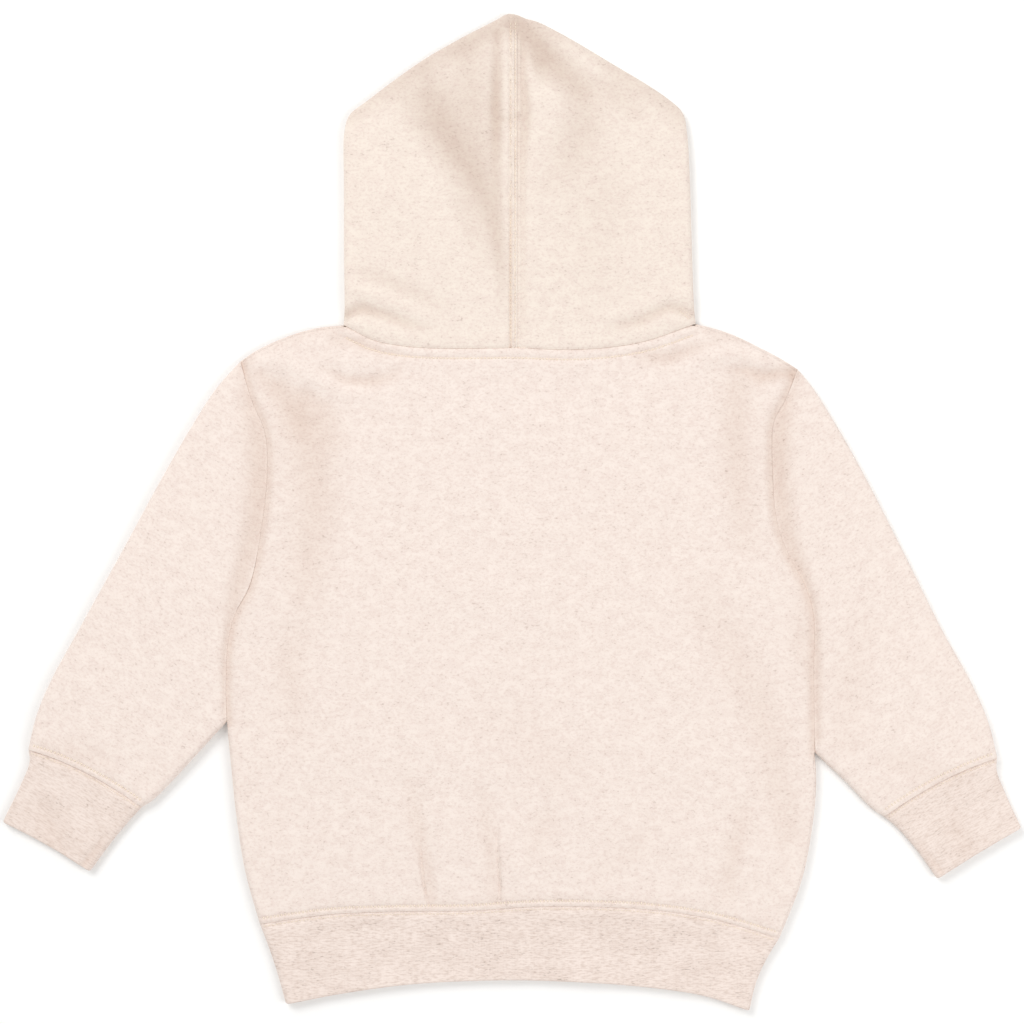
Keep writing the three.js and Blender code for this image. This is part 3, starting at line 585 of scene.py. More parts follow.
class Height:
    """Height of the laid cloth over the surface. Shapes follow a seam line: each has its offset from the
    line, its reach and its depth; puckers ripple along the line and die away from it."""

    def __init__(self, wall, height, seams=(), puckers=(), own_folds=None):
        self.wall = wall
        self.own_folds = own_folds or {}
        self.height = height
        self.seams = seams
        self.puckers = puckers

    def seam_shapes(self, points):
        """For each shape beside a seam, the points' distance from its middle, its reach and its depth."""
        for line, shapes in self.seams:
            distance = distance_to_line(points, line)
            for offset, reach, depth in shapes:
                yield distance - offset, reach, depth

    def top(self, points):
        z = self.height + undulation(points)
        for folds in (FOLDS, CREASES, self.own_folds):
            z = z + relief_of(folds, points)
        for distance, reach, depth in self.seam_shapes(points):
            z += depth * hump(distance, reach)
        for line, reach, depth in self.puckers:
            z += depth * pucker(points, line, reach)
        return np.clip(z, 2 * self.wall + LEAST_AIR, 2 * self.wall + MOST_AIR)

    def base(self, points):
        lift = relief_of(UNDER_FOLDS, points)
        for distance, reach, depth in self.seam_shapes(points):
            lift += UNDERSIDE_SHARE * max(-depth, 0) * hump(distance, min(reach, UNDERSIDE_REACH))
        return np.clip(lift, 0, LEAST_AIR - AIR_OVER_LIFT)

    def painted_shade_mask(self, points):
        """How deep a place lies in a fold or beside a seam, the mask of the painted shade in hollows: 1 at
        full depth, and below 0 on a ridge.
        """
        depth = relief_of(FOLDS, points) + relief_of(self.own_folds, points)
        for distance, reach, seam_depth in self.seam_shapes(points):
            if reach >= WIDE_SEAM:
                depth = depth + seam_depth * hump(distance, reach)
        return np.clip(-depth / FULL_SHADE_DEPTH, -MOST_RIDGE, 1)

    def at(self, plan, level, inside):
        top, base = self.top(plan), self.base(plan)
        if inside:
            return base + self.wall + level * (top - base - 2 * self.wall)
        return base + level * (top - base)


def undulation(points):
    """Slow waves of relaxed cloth, and the small unevenness of its knit."""
    z = np.zeros(points.shape[:-1])
    for direction, length, depth, phase in WAVES:
        along = points[..., 0] * math.cos(direction) + points[..., 1] * math.sin(direction)
        z += depth * np.sin(along * 2 * math.pi / length + phase)
    return z


def make_waves():
    """Direction, length, depth and phase of each wave."""
    chance = np.random.RandomState(WAVE_SEED)
    waves = []
    for count, shortest, longest, depth in WAVE_KINDS:
        for _ in range(count):
            direction = chance.uniform(0, math.pi)
            length = chance.uniform(shortest, longest)
            waves.append((direction, length, depth, chance.uniform(0, 6.28)))
    return waves


WAVES = make_waves()


def pucker(points, line, reach):
    """Short ripples square to a seam, whose spacing and strength drift along it."""
    nearest, station = nearest_on_line(points, line)
    run = np.interp(station, np.arange(len(line)), run_of(line))
    ripple = np.sin(run / 2.1 + 2.2 * np.sin(run / 17)) + 0.7 * np.sin(run / 3.7 + 1.3 * np.sin(run / 29))
    strength = 0.6 + 0.4 * np.sin(run / 23)
    return ripple * strength * hump(nearest, reach)


# Lines of the plan. Each piece keeps half a seam's gap to them.
def body_edge(side):
    x, y = side + "X", side + "Y"
    return {
        "side": line_through(BODY_SECTIONS, x, y, SIDE_SPANS, 0, UNDERARM_ROW),
        "armhole": line_through(BODY_SECTIONS, x, y, ARMHOLE_SPANS, UNDERARM_ROW),
    }


def neckline(rows):
    return {
        "left": line_through(rows, "x", "y", HALF_NECK_SPANS, 0, NECK_MIDDLE_ROW),
        "right": line_through(rows, "x", "y", HALF_NECK_SPANS, NECK_MIDDLE_ROW),
    }


def cuff_section(side, row, towards_body):
    rows = CUFFS[side]
    start = np.array([rows["outerX"][row], rows["outerY"][row]], float)
    end = np.array([rows["innerX"][row], rows["innerY"][row]], float)
    outwards = 1 if side == "left" else -1
    return moved(bowed(start, end, rows["bow"][row], ARMHOLE_SPANS), outwards * towards_body)


BODY_EDGES = {side: body_edge(side) for side in SIDES}
WAIST_SEAM = line_through(WAISTBAND_SECTIONS, "seamX", "seamY", BODY_COLUMNS)
HEM = line_through(WAISTBAND_SECTIONS, "hemX", "hemY", BODY_COLUMNS)
BACK_NECKLINE = neckline(BACK_NECK)
FRONT_NECKLINE = neckline(FRONT_NECK)
BACK_NECK_LINE = then(BACK_NECKLINE["left"], BACK_NECKLINE["right"])[::4]
CUFF_SEAMS = {side: cuff_section(side, 0, 0) for side in SIDES}
WAIST_LINE = WAIST_SEAM[::4]
CUFF_LINES = {side: seam[::4] for side, seam in CUFF_SEAMS.items()}
HOOD_SLOPES = {side: line_through(HOOD_EDGES, side + "X", side + "Y", 24, 5) for side in SIDES}
SHOULDER_LINES = [line_through(SHOULDERS, side + "X", side + "Y", 12) for side in SIDES]
NECK_MIDDLE_Y = BACK_NECK["y"][NECK_MIDDLE_ROW]
HOOD_MIDDLE = np.array([[HOOD_SEAM["x"], NECK_MIDDLE_Y], [HOOD_SEAM["x"], HOOD_SEAM["tipY"]]])
ARMHOLES = [BODY_EDGES[side]["armhole"][::2] for side in SIDES]


def new_object(name, data):
    made = bpy.data.objects.new(name, data)
    bpy.context.scene.collection.objects.link(made)
    return made


def smooth_mesh(name, points, faces):
    mesh = bpy.data.meshes.new(name)
    mesh.from_pydata(points, [], faces)
    mesh.polygons.foreach_set("use_smooth", [True] * len(mesh.polygons))
    mesh.update()
    return mesh


def store(mesh, name, values):
    """Keeps a number or a vector for each point of the mesh."""
    values = np.asarray(values, float)
    kind, field = ("FLOAT_VECTOR", "vector") if values.ndim == 2 else ("FLOAT", "value")
    mesh.attributes.new(name, kind, "POINT").data.foreach_set(field, values.ravel())


def quads_to_mesh(name, outer, inner, is_tube, grain, painted_shade_mask):
    """A closed shell from its outer and inner rows of points, in millimetres of the plan."""
    rows, width = outer.shape[:2]
    points = np.concatenate([outer.reshape(-1, 3), inner.reshape(-1, 3)])
    number = np.arange(rows * width).reshape(rows, width)
    if is_tube:
        number = np.concatenate([number, number[:, :1]], axis=1)
    other = number + rows * width
    quads = [
        np.stack([number[:-1, :-1], number[:-1, 1:], number[1:, 1:], number[1:, :-1]], -1).reshape(-1, 4),
        np.stack([other[:-1, :-1], other[1:, :-1], other[1:, 1:], other[:-1, 1:]], -1).reshape(-1, 4),
        np.stack([number[0, :-1], other[0, :-1], other[0, 1:], number[0, 1:]], -1),
        np.stack([number[-1, :-1], number[-1, 1:], other[-1, 1:], other[-1, :-1]], -1),
    ]
    if not is_tube:
        quads.append(np.stack([number[:-1, 0], number[1:, 0], other[1:, 0], other[:-1, 0]], -1))
        quads.append(np.stack([number[:-1, -1], other[:-1, -1], other[1:, -1], number[1:, -1]], -1))
    faces = np.concatenate(quads)
    corners = points[faces]
    first = np.einsum("ij,ij->i", corners[:, 0], np.cross(corners[:, 1], corners[:, 2]))
    second = np.einsum("ij,ij->i", corners[:, 0], np.cross(corners[:, 2], corners[:, 3]))
    if (first + second).sum() < 0:
        faces = faces[:, ::-1]
    placed = (points - [*PLAN_MIDDLE, 0]) * MM
    mesh = smooth_mesh(name, placed.tolist(), faces.tolist())
    x, y, z = placed.T
    sine, cosine = math.sin(math.radians(grain)), math.cos(math.radians(grain))
    store(mesh, "cloth", np.stack([x * cosine + y * sine, y * cosine - x * sine, z], axis=1))
    # The depth of each point in its fold, kept as the mask of the painted shade in the material.
    store(mesh, "painted_shade_mask", np.tile(painted_shade_mask.ravel(), 2))
    return new_object(name, mesh)


def from_edge(side, distance, width):
    return distance / width if side == "left" else 1 - distance / width


def layer_width(layer, v):
    return np.linalg.norm(layer(0.0, v) - layer(1.0, v), axis=-1)


def flat_places(layer, shares, left_fold=True, right_fold=True):
    return [{"layer": layer, "u": u, "left": left_fold, "right": right_fold} for u in shares]


def between_folds(place, width):
    """Share of the way across for a place on the flat, which starts where the round fold ends."""
    low = FOLD_RADIUS / width if place["left"] else 0.0
    high = 1 - FOLD_RADIUS / width if place["right"] else 1.0
    return low + (high - low) * place["u"]


def fold_places(side, start, end):
    angles = np.linspace(start, end, FOLD_STEPS + 2)[1:-1]
    return [{"side": side, "angle": a, "layer": "top" if a > 90 else "under"} for a in angles]


def rolled_share(distance, radius):
    """Thickness left at a distance from an edge where the rib is folded double, as a share of the whole."""
    flat = 1 - np.clip(distance / radius, 0, 1)
    return np.maximum(np.sqrt(1 - flat**2), THINNEST_EDGE)


def wall_face(columns, height, inside):
    """One face of a wall, from the plan and level of its columns: its points, their plan and level."""
    plan = np.stack([column[0] for column in columns], axis=1)
    level = np.clip(np.stack([column[1] for column in columns], axis=1), 0, 1)
    return np.concatenate([plan, height.at(plan, level, inside)[..., None]], axis=-1), plan, level


def wrapped_column(place, layers, widths, rows, wall, inside):
    layer, width = layers[place["layer"]], widths[place["layer"]]
    if "side" in place:
        distance, level = round_fold(place["angle"], wall, inside)
        u = from_edge(place["side"], distance, width)
    else:
        level = 1.0 if place["layer"] == "top" else 0.0
        u = between_folds(place, width)
    return layer(u, rows), np.full(len(rows), level)


def wrapped_wall(name, layers, places, rows, height, is_tube, grain=0, hem_at=None):
    """A wall that runs round one or both folds: sleeves, cuffs, waistband and hood panels."""
    rows = np.asarray(rows)
    widths = {key: layer_width(layer, rows) for key, layer in layers.items()}
    faces = {}
    for inside in (False, True):
        columns = [wrapped_column(place, layers, widths, rows, height.wall, inside) for place in places]
        faces[inside], plan, level = wall_face(columns, height, inside)
    if hem_at is not None:
        share = rolled_share(np.abs(rows - hem_at) * RIB_DEPTH, height.wall / 2)[:, None, None]
        middle = (faces[False] + faces[True]) / 2
        faces = {inside: middle + (face - middle) * share for inside, face in faces.items()}
    return quads_to_mesh(name, faces[False], faces[True], is_tube, grain, height.painted_shade_mask(plan) * level)


def panel_edge(share, folded, seam_angle, is_top, inside):
    """Distance from the edge and height lost to it, between a round fold and a plain edge."""
    far = 180 if is_top else 0
    angle = seam_angle + (far - seam_angle) * share
    if share == 0:
        radius = FOLD_RADIUS - FLEECE_WALL if inside else FOLD_RADIUS
        drawn_back = math.degrees(HALF_GAP / radius)
        angle = seam_angle + (drawn_back if is_top else -drawn_back)
    distance, level = round_fold(angle, FLEECE_WALL, inside)
    plain = share * FOLD_RADIUS
    return plain + (distance - plain) * folded, folded * (1 - level if is_top else level)


def beside_folds(u, fold):
    """Share of the way across the body, drawn in from the round fold at each side."""
    if u < NECK_CORNER:
        return fold + (NECK_CORNER - fold) * u / NECK_CORNER
    if u > 1 - NECK_CORNER:
        return 1 - fold - (NECK_CORNER - fold) * (1 - u) / NECK_CORNER
    return u


def side_fold(side, y):
    """1 where the side of the body is a round fold, and 0 along the armhole, where it is a plain edge."""
    underarm = BODY_SECTIONS[side + "Y"][UNDERARM_ROW]
    return 1 - smoothstep(y, underarm - FOLD_END_BELOW, underarm + FOLD_END_ABOVE)


def body_layer(neck):
    """The plan of the body, from the waist seam to the shoulders and this neckline."""
    left = moved(then(BODY_EDGES["left"]["side"], BODY_EDGES["left"]["armhole"]), -HALF_GAP)
    right = moved(then(BODY_EDGES["right"]["side"], BODY_EDGES["right"]["armhole"]), HALF_GAP)
    shoulder_left = line_through(SHOULDERS, "leftX", "leftY", SHOULDER_SPANS)[::-1]
    shoulder_right = line_through(SHOULDERS, "rightX", "rightY", SHOULDER_SPANS)
    tops = [shoulder_left, neck["left"], neck["right"], shoulder_right]
    end = then(*[moved(line, -HALF_GAP) for line in tops])
    start = moved(WAIST_SEAM, HALF_GAP)
    for line, row in ((start, 0), (end, -1)):
        line[0, 0] = left[row, 0]
        line[-1, 0] = right[row, 0]
    return patch(start, end, left, right)


def body_places(is_top, spacing):
    """Where the body's mesh has columns: round the left side, across the flat and round the right side."""
    middle_u = np.linspace(NECK_CORNER, 1 - NECK_CORNER, round(BODY_MIDDLE_WIDTH / spacing) + 1)
    outer_u = np.linspace(0, NECK_CORNER, round(SHOULDER_WIDTH / TOP_SPACING) + 1)[:-1]
    shares = np.concatenate([outer_u, middle_u, 1 - outer_u[::-1]])
    if is_top:
        reach = CREASE_HALF_WIDTH
        fine = [np.linspace(u - reach, u + reach, CREASE_COLUMNS) for u in CREASE_SHARES]
        kept = [u for u in shares if all(abs(u - middle) > reach for middle in CREASE_SHARES)]
        shares = np.sort(np.concatenate([kept, *fine]))
    left_side = [{"side": "left", "share": share} for share in QUARTER]
    right_side = [{"side": "right", "share": share} for share in QUARTER[::-1]]
    return left_side + [{"u": u} for u in shares] + right_side


def body_column(place, layer, rows, is_top, inside):
    """One column of the body, up to and round the edge at its top."""
    on_shoulder = int("side" in place or abs(place["u"] - 0.5) > 0.5 - NECK_CORNER - 1e-6)
    cap = [panel_edge(share, on_shoulder, SHOULDER_SEAM_ANGLE, is_top, inside) for share in QUARTER[::-1]]
    v = np.concatenate([rows, [1 - distance / BODY_LENGTH for distance, _ in cap]])
    lost = np.concatenate([np.zeros(len(rows)), [loss for _, loss in cap]])
    width = layer_width(layer, v)
    if "side" in place:
        side = place["side"]
        folded = side_fold(side, layer(0.0 if side == "left" else 1.0, v)[:, 1])
        distance, loss = panel_edge(place["share"], folded, SIDE_SEAM_ANGLE[side], is_top, inside)
        u = from_edge(side, distance, width)
        lost = lost + loss
    else:
        u = beside_folds(place["u"], FOLD_RADIUS / width)
    return layer(u, v), 1 - lost if is_top else lost


def body_panel(name, is_top, neck, height, spacing):
    layer = body_layer(neck)
    last_v = 1 - FOLD_RADIUS / BODY_LENGTH
    rows = steps_between(BODY_LENGTH, spacing, True, True) * last_v
    faces = {}
    for inside in (False, True):
        columns = [body_column(place, layer, rows, is_top, inside) for place in body_places(is_top, spacing)]
        faces[inside], plan, level = wall_face(columns, height, inside)
    return quads_to_mesh(name, faces[False], faces[True], False, 0, height.painted_shade_mask(plan) * level)


def tube_places(top, under):
    return [
        *flat_places("under", under),
        *fold_places("right", 0, 180),
        *flat_places("top", top)[::-1],
        *fold_places("left", 180, 0),
    ]


def lay(side, start, end, outer, inner):
    """A patch whose outer line is on the left or on the right."""
    if side == "left":
        return patch(start, end, outer, inner)
    return patch(start[::-1], end[::-1], inner, outer)


def build_tube(name, layer, columns, rows, height, grain=0, hem_at=None):
    """A tube laid flat, whose two layers have the same plan."""
    places = tube_places(*[np.linspace(0, 1, count) for count in columns])
    return wrapped_wall(name, {"top": layer, "under": layer}, places, rows, height, True, grain, hem_at)


def build_sleeve(side, height):
    rows = SLEEVES[side]
    outwards = 1 if side == "left" else -1
    armhole = moved(BODY_EDGES[side]["armhole"][::-1], -outwards * HALF_GAP)
    end = cuff_section(side, 0, HALF_GAP)
    outer = line_through(rows, "outerX", "outerY", FREE_SPANS)
    inner = line_through(rows, "innerX", "innerY", FREE_SPANS)
    layer = lay(side, armhole, end, outer, inner)
    steps = steps_between(SLEEVE_LENGTH, FINE_SPACING, True, True)
    return build_tube("cloth_sleeve_" + side, layer, SLEEVE_COLUMNS, steps, height, SLEEVE_GRAIN[side])


def build_cuff(side, height):
    rows = CUFFS[side]
    outer = line_through(rows, "outerX", "outerY", FREE_SPANS)
    inner = line_through(rows, "innerX", "innerY", FREE_SPANS)
    layer = lay(side, cuff_section(side, 0, -HALF_GAP), cuff_section(side, -1, 0), outer, inner)
    steps = steps_between(RIB_DEPTH, RIB_SPACING, True, True)
    return build_tube("rib_cuff_" + side, layer, CUFF_COLUMNS, steps, height, SLEEVE_GRAIN[side], hem_at=1)


def build_waistband(height):
    def edge(row, inwards):
        t = np.linspace(0, 1, FREE_SPANS + 1)
        hem = np.array([WAISTBAND_SECTIONS["hemX"][row], WAISTBAND_SECTIONS["hemY"][row]], float)
        seam = np.array([WAISTBAND_SECTIONS["seamX"][row], WAISTBAND_SECTIONS["seamY"][row]], float)
        line = hem + (seam - hem) * t[:, None]
        line[:, 0] += inwards * np.sin(np.pi * t)
        return line

    left, right = edge(0, WAISTBAND_NIP["left"]), edge(-1, -WAISTBAND_NIP["right"])
    layer = patch(HEM, moved(WAIST_SEAM, -HALF_GAP), left, right)
    steps = steps_between(RIB_DEPTH, RIB_SPACING, True, True)
    return build_tube("rib_waistband", layer, WAISTBAND_COLUMNS, steps, height, hem_at=0)


def build_hood(side, height):
    is_left = side == "left"
    seam_x = HOOD_SEAM["x"] + (-HALF_GAP if is_left else HALF_GAP)
    edge = line_through(HOOD_EDGES, side + "X", side + "Y", FREE_SPANS)
    corner = edge[0] + np.array([0, NECK_CORNER_LIFT])

    def neck_half(neck):
        line = moved(neck["left"], HALF_GAP) if is_left else moved(neck["right"], HALF_GAP)[::-1].copy()
        line[0] = corner
        line[-1, 0] = seam_x
        return line

    top_neck, under_neck = neck_half(BACK_NECKLINE), neck_half(FRONT_NECKLINE)
    seam = np.array([[seam_x, top_neck[-1, 1]], [seam_x, HOOD_SEAM["turnY"]]])
    t = np.linspace(0, 1, FREE_SPANS + 1)
    gap = FACE_OPENING["halfGap"] * np.sin(np.pi * t) * (-1 if is_left else 1)
    opening_y = under_neck[-1, 1] + (FACE_OPENING["topY"] - under_neck[-1, 1]) * t
    opening = np.stack([seam_x + gap, opening_y], axis=1)
    top_turn = np.array([[seam_x, HOOD_SEAM["tipY"]], [seam_x, HOOD_SEAM["turnY"]]])
    under_turn = np.array([[seam_x, HOOD_SEAM["tipY"]], [seam_x, FACE_OPENING["topY"]]])

    def sheet(layer, shares):
        if not is_left:
            shares = 1 - shares[::-1]
        places = flat_places(layer, shares, is_left, not is_left)
        return places if is_left else places[::-1]

    fine = steps_between(HOOD_WIDTH, FINE_SPACING, False, True)
    coarse = np.linspace(0, 1, HOOD_UNDER_COLUMNS)
    places = [*sheet("top", fine)[::-1], *fold_places(side, 180, 0), *sheet("under", coarse)]
    layers = {
        "top": lay(side, top_neck, top_turn, edge, seam),
        "under": lay(side, under_neck, under_turn, edge, opening),
    }
    rows = steps_between(HOOD_LENGTH, FINE_SPACING, True, True)
    return wrapped_wall("cloth_hood_" + side, layers, places, rows, height, False)


# Shapes beside the seams, each an offset from the seam, a reach and a depth: the groove of the seam, the
# allowance turned in next to it and the trough that a row of stitches draws. Towards the outline of the
# shoulders the cloth falls.
SHOULDER_FALL = [(0, 5, -0.9)]


def back_seams():
    armhole = [(0, ARMHOLE_REACH, -ARMHOLE_DIP), (5.5, 2.5, 0.3)]
    waist = [
        (0, HEM_REACH, -HEM_DIP), (0, 0.6, -0.35), (1.8, 0.8, 0.12), (3.4, 0.75, -0.6), (7.5, 3.5, 0.25),
    ]
    neck = [(0, 0.9, -0.6), (3.0, 1.9, 0.4), (6.1, 0.8, -0.65), (9.5, 3.0, 0.2)]
    shoulder = [*SHOULDER_FALL, (1.3, 0.5, -0.5)]
    seams = [(line, armhole) for line in ARMHOLES] + [(line, shoulder) for line in SHOULDER_LINES]
    return [*seams, (WAIST_LINE, waist), (BACK_NECK_LINE, neck)]


def sleeve_seams(side):
    armhole = [(0, 2.2, -1.2)]
    cuff = [(0, 4.0, -0.2), (0, 0.6, -0.25), (1.9, 0.8, 0.15), (3.4, 0.75, -0.5), (8, 3.5, 0.3)]
    seams = [(line, armhole) for line in ARMHOLES] + [(line, SHOULDER_FALL) for line in SHOULDER_LINES]
    return [*seams, (CUFF_LINES[side], cuff)]


def hood_seams(side):
    if side == "left":
        middle = [(0, 0.7, -1.0), (1.8, 0.45, -0.9), (3.1, 0.8, 0.4), (4.5, 0.8, -1.7), (3.6, 3.4, -0.5)]
    else:
        middle = [(0, 0.7, -0.9), (3.2, 3.0, -0.75), (8.5, 3, 0.2)]
    neck = [(0, 0.9, -0.6), (4.6, 3.2, 0.3)]
    return [(HOOD_MIDDLE, middle), (BACK_NECK_LINE, neck), (HOOD_SLOPES[side], [(0, 9, -1.5)])]


def rib_seams(line):
    return [(line, [(0, 0.7, -0.35), (1.7, 0.7, -0.15), (4.5, 2.0, 0.2)])]


# Wall, height, seams and puckers of each kind of piece. A pucker is a line, its reach and its depth.
HEIGHTS = {
    "back": Height(
        FLEECE_WALL,
        BODY_HEIGHT,
        back_seams(),
        [*[(line, 8, 0.16) for line in ARMHOLES], (WAIST_LINE, 9, 0.13), (BACK_NECK_LINE, 7, 0.1)],
    ),
    "waistband": Height(RIB_WALL, RIB_HEIGHT, rib_seams(WAIST_LINE), [(WAIST_LINE, 7, 0.13)]),
}
for side in SIDES:
    cuff_line = CUFF_LINES[side]
    HEIGHTS["sleeve_" + side] = Height(
        FLEECE_WALL,
        SLEEVE_HEIGHT,
        sleeve_seams(side),
        [*[(line, 12, 0.18) for line in ARMHOLES], (cuff_line, 9, 0.16)],
        {"armhole_band": SLEEVE_BANDS[side]},
    )
    HEIGHTS["cuff_" + side] = Height(RIB_WALL, RIB_HEIGHT, rib_seams(cuff_line), [(cuff_line, 7, 0.14)])
    HEIGHTS["hood_" + side] = Height(
        FLEECE_WALL, HOOD_HEIGHT, hood_seams(side), [(HOOD_MIDDLE, 6, 0.1), (BACK_NECK_LINE, 9, 0.14)]
    )


# Small helpers for node trees. A value that is a socket is linked, any other is set.
def add_node(tree, kind, values=None, **settings):
    node = tree.nodes.new(kind)
    for name, value in settings.items():
        setattr(node, name, value)
    for key, value in (values or {}).items():
        socket = node.inputs[key]
        if isinstance(value, bpy.types.NodeSocket):
            tree.links.new(value, socket)
        else:
            socket.default_value = value
    return node


def new_material(name):
    material = bpy.data.materials.new(name)
    material.use_nodes = True
    material.node_tree.nodes.clear()
    return material, material.node_tree


def stretched_noise(tree, place, size, seed, detail=1.0, roughness=0.5):
    """Noise whose features have this size in millimetres along, across and up the cloth."""
    scaled = maths(tree, "MULTIPLY", place, tuple(1000 / mm for mm in size), "ShaderNodeVectorMath")
    shifted = maths(tree, "ADD", scaled, (seed, 2.3 * seed, 0), "ShaderNodeVectorMath")
    values = {"Vector": shifted, "Scale": 1.0, "Detail": detail, "Roughness": roughness}
    return add_node(tree, "ShaderNodeTexNoise", values).outputs["Fac"]


def ramp(tree, value, low, high):
    """0 up to the low value, 1 from the high one on, and even between them."""
    limits = {"Value": value, "From Min": low, "From Max": high}
    return add_node(tree, "ShaderNodeMapRange", limits).outputs["Result"]


def mix_colour(tree, factor, first, second, blend="MIX"):
    values = {"Factor": factor, 6: first, 7: second}
    return add_node(tree, "ShaderNodeMix", values, data_type="RGBA", blend_type=blend).outputs[2]


def maths(tree, operation, first, second, kind="ShaderNodeMath"):
    return add_node(tree, kind, {0: first, 1: second}, operation=operation).outputs[0]


def finish_material(tree, colour, height, strength, distance, sheen, sheen_roughness):
    bump = add_node(tree, "ShaderNodeBump", {"Height": height, "Strength": strength, "Distance": distance})
    surface = add_node(tree, "ShaderNodeBsdfPrincipled", {"Normal": bump.outputs[0], "Base Color": colour})
    surface.inputs["Roughness"].default_value = 0.95
    surface.inputs["Specular IOR Level"].default_value = 0.15
    surface.inputs["Sheen Weight"].default_value = sheen
    surface.inputs["Sheen Roughness"].default_value = sheen_roughness
    output = add_node(tree, "ShaderNodeOutputMaterial")
    tree.links.new(surface.outputs[0], output.inputs[0])


def painted_shade_in_hollows(tree, colour, tint):
    """Painted shade: the colour, a little darker in the hollows of the folds, where less light comes back.
    """
    painted_shade_mask = add_node(tree, "ShaderNodeAttribute", attribute_name="painted_shade_mask").outputs["Fac"]
    return mix_colour(tree, ramp(tree, painted_shade_mask, 0.0, 1.0), colour, hex_to_linear(tint), "MULTIPLY")


def toned(tree, base, tones):
    """The base colour with other tones over it, each by its mask and by a share."""
    colour = hex_to_linear(base)
    for mask, share, tone in tones:
        colour = mix_colour(tree, maths(tree, "MULTIPLY", mask, share), colour, hex_to_linear(tone))
    return colour


def brushed_fleece(name, base, painted_shade_tint):
    """Heather sweatshirt fleece: a cream knit face with short flecks of darker fibre along its courses."""
    material, tree = new_material(name)
    place = add_node(tree, "ShaderNodeAttribute", attribute_name="cloth").outputs["Vector"]
    patches = ramp(tree, stretched_noise(tree, place, FLEECE_NOISE["patch"], 3, 2.0), 0.35, 0.68)
    flecks = ramp(tree, stretched_noise(tree, place, FLEECE_NOISE["fleck"], 11, 2.0, 0.6), 0.46, 0.68)
    dark = ramp(tree, stretched_noise(tree, place, FLEECE_NOISE["dark"], 29, 1.0), 0.6, 0.74)
    dark = maths(tree, "MULTIPLY", dark, patches)
    tones = [(patches, 0.34, FLEECE_SHADE), (flecks, 0.6, FLEECE_SHADE), (dark, 0.55, FLEECE_FLECK)]
    # Painted shade: the colour darkens towards the tint in the hollows of the folds.
    colour = painted_shade_in_hollows(tree, toned(tree, base, tones), painted_shade_tint)
    knit = stretched_noise(tree, place, FLEECE_NOISE["knit"], 41, 2.0, 0.6)
    nap = stretched_noise(tree, place, FLEECE_NOISE["nap"], 53, 2.0)
    relief = maths(tree, "ADD", maths(tree, "MULTIPLY", knit, 0.6), maths(tree, "MULTIPLY", nap, 0.9))
    finish_material(tree, colour, relief, 0.5, 0.0005, 0.15, 0.6)
    return material


def marled_rib(name, marl):
    """Rib knit of a marl yarn: darker streaks along the courses, and narrow ribs square to them."""
    material, tree = new_material(name)
    place = add_node(tree, "ShaderNodeAttribute", attribute_name="cloth").outputs["Vector"]
    patches = ramp(tree, stretched_noise(tree, place, RIB_NOISE["patch"], 5, 2.0), 0.35, 0.68)
    streaks = ramp(tree, stretched_noise(tree, place, RIB_NOISE["streak"], 17, 2.0, 0.6), 0.44, 0.7)
    dark = ramp(tree, stretched_noise(tree, place, RIB_NOISE["dark"], 37, 1.0), 0.6, 0.74)
    dark = maths(tree, "MULTIPLY", dark, patches)
    tones = [(streaks, 0.65, marl["streak"]), (patches, 0.25, marl["streak"]), (dark, 0.7, marl["fleck"])]
    # Painted shade: the colour darkens towards the tint in the hollows of the folds.
    colour = painted_shade_in_hollows(tree, toned(tree, marl["base"], tones), FLEECE_PAINTED_SHADE)
    across = add_node(tree, "ShaderNodeSeparateXYZ", {0: place}).outputs[0]
    phase = maths(tree, "MULTIPLY", across, 2 * math.pi / (RIB_PITCH * MM))
    ribs = add_node(tree, "ShaderNodeMath", {0: phase}, operation="SINE").outputs[0]
    loops = stretched_noise(tree, place, RIB_NOISE["loop"], 61, 2.0, 0.6)
    relief = maths(tree, "ADD", maths(tree, "MULTIPLY", ribs, 0.16), maths(tree, "MULTIPLY", loops, 0.9))
    finish_material(tree, colour, relief, 0.5, 0.0005, 0.15, 0.6)
    return material


def sewing_thread():
    """Cream cotton thread."""
    material, tree = new_material("cotton_thread")
    place = add_node(tree, "ShaderNodeTexCoord").outputs["Object"]
    twist = stretched_noise(tree, place, (0.5, 0.3, 0.3), 2, 1.0)
    finish_material(tree, hex_to_linear(THREAD), twist, 0.3, 0.0001, 0.1, 0.5)
    return material


def floor_paper():
    """Matt white studio paper."""
    material, tree = new_material("white_paper")
    place = add_node(tree, "ShaderNodeTexCoord").outputs["Object"]
    grain = stretched_noise(tree, place, (3, 3, 3), 4, 1.0)
    finish_material(tree, hex_to_linear(FLOOR), grain, 0.02, 0.0001, 0.0, 0.5)
    return material


def stitch_mesh():
    """One stitch of thread 1 mm long along x: a short strand whose ends dip into the cloth."""
    rings = [(-0.5, 0.45, -0.28), (-0.3, 0.95, 0.0), (0.0, 1.0, 0.1), (0.3, 0.95, 0.0), (0.5, 0.45, -0.28)]
    sides = 6
    points = []
    for x, radius, z in rings:
        for k in range(sides):
            turn = 2 * math.pi * k / sides
            y = 0.5 * radius * math.cos(turn)
            points.append((x * MM, y * MM, (0.5 * radius * math.sin(turn) + z) * MM))
    faces = [tuple(range(sides))[::-1], tuple(range((len(rings) - 1) * sides, len(rings) * sides))]
    for ring in range(len(rings) - 1):
        for k in range(sides):
            a, b = ring * sides + k, ring * sides + (k + 1) % sides
            faces.append((a, b, b + sides, a + sides))
    return bpy.data.objects.new("stitch", smooth_mesh("stitch", points, faces))


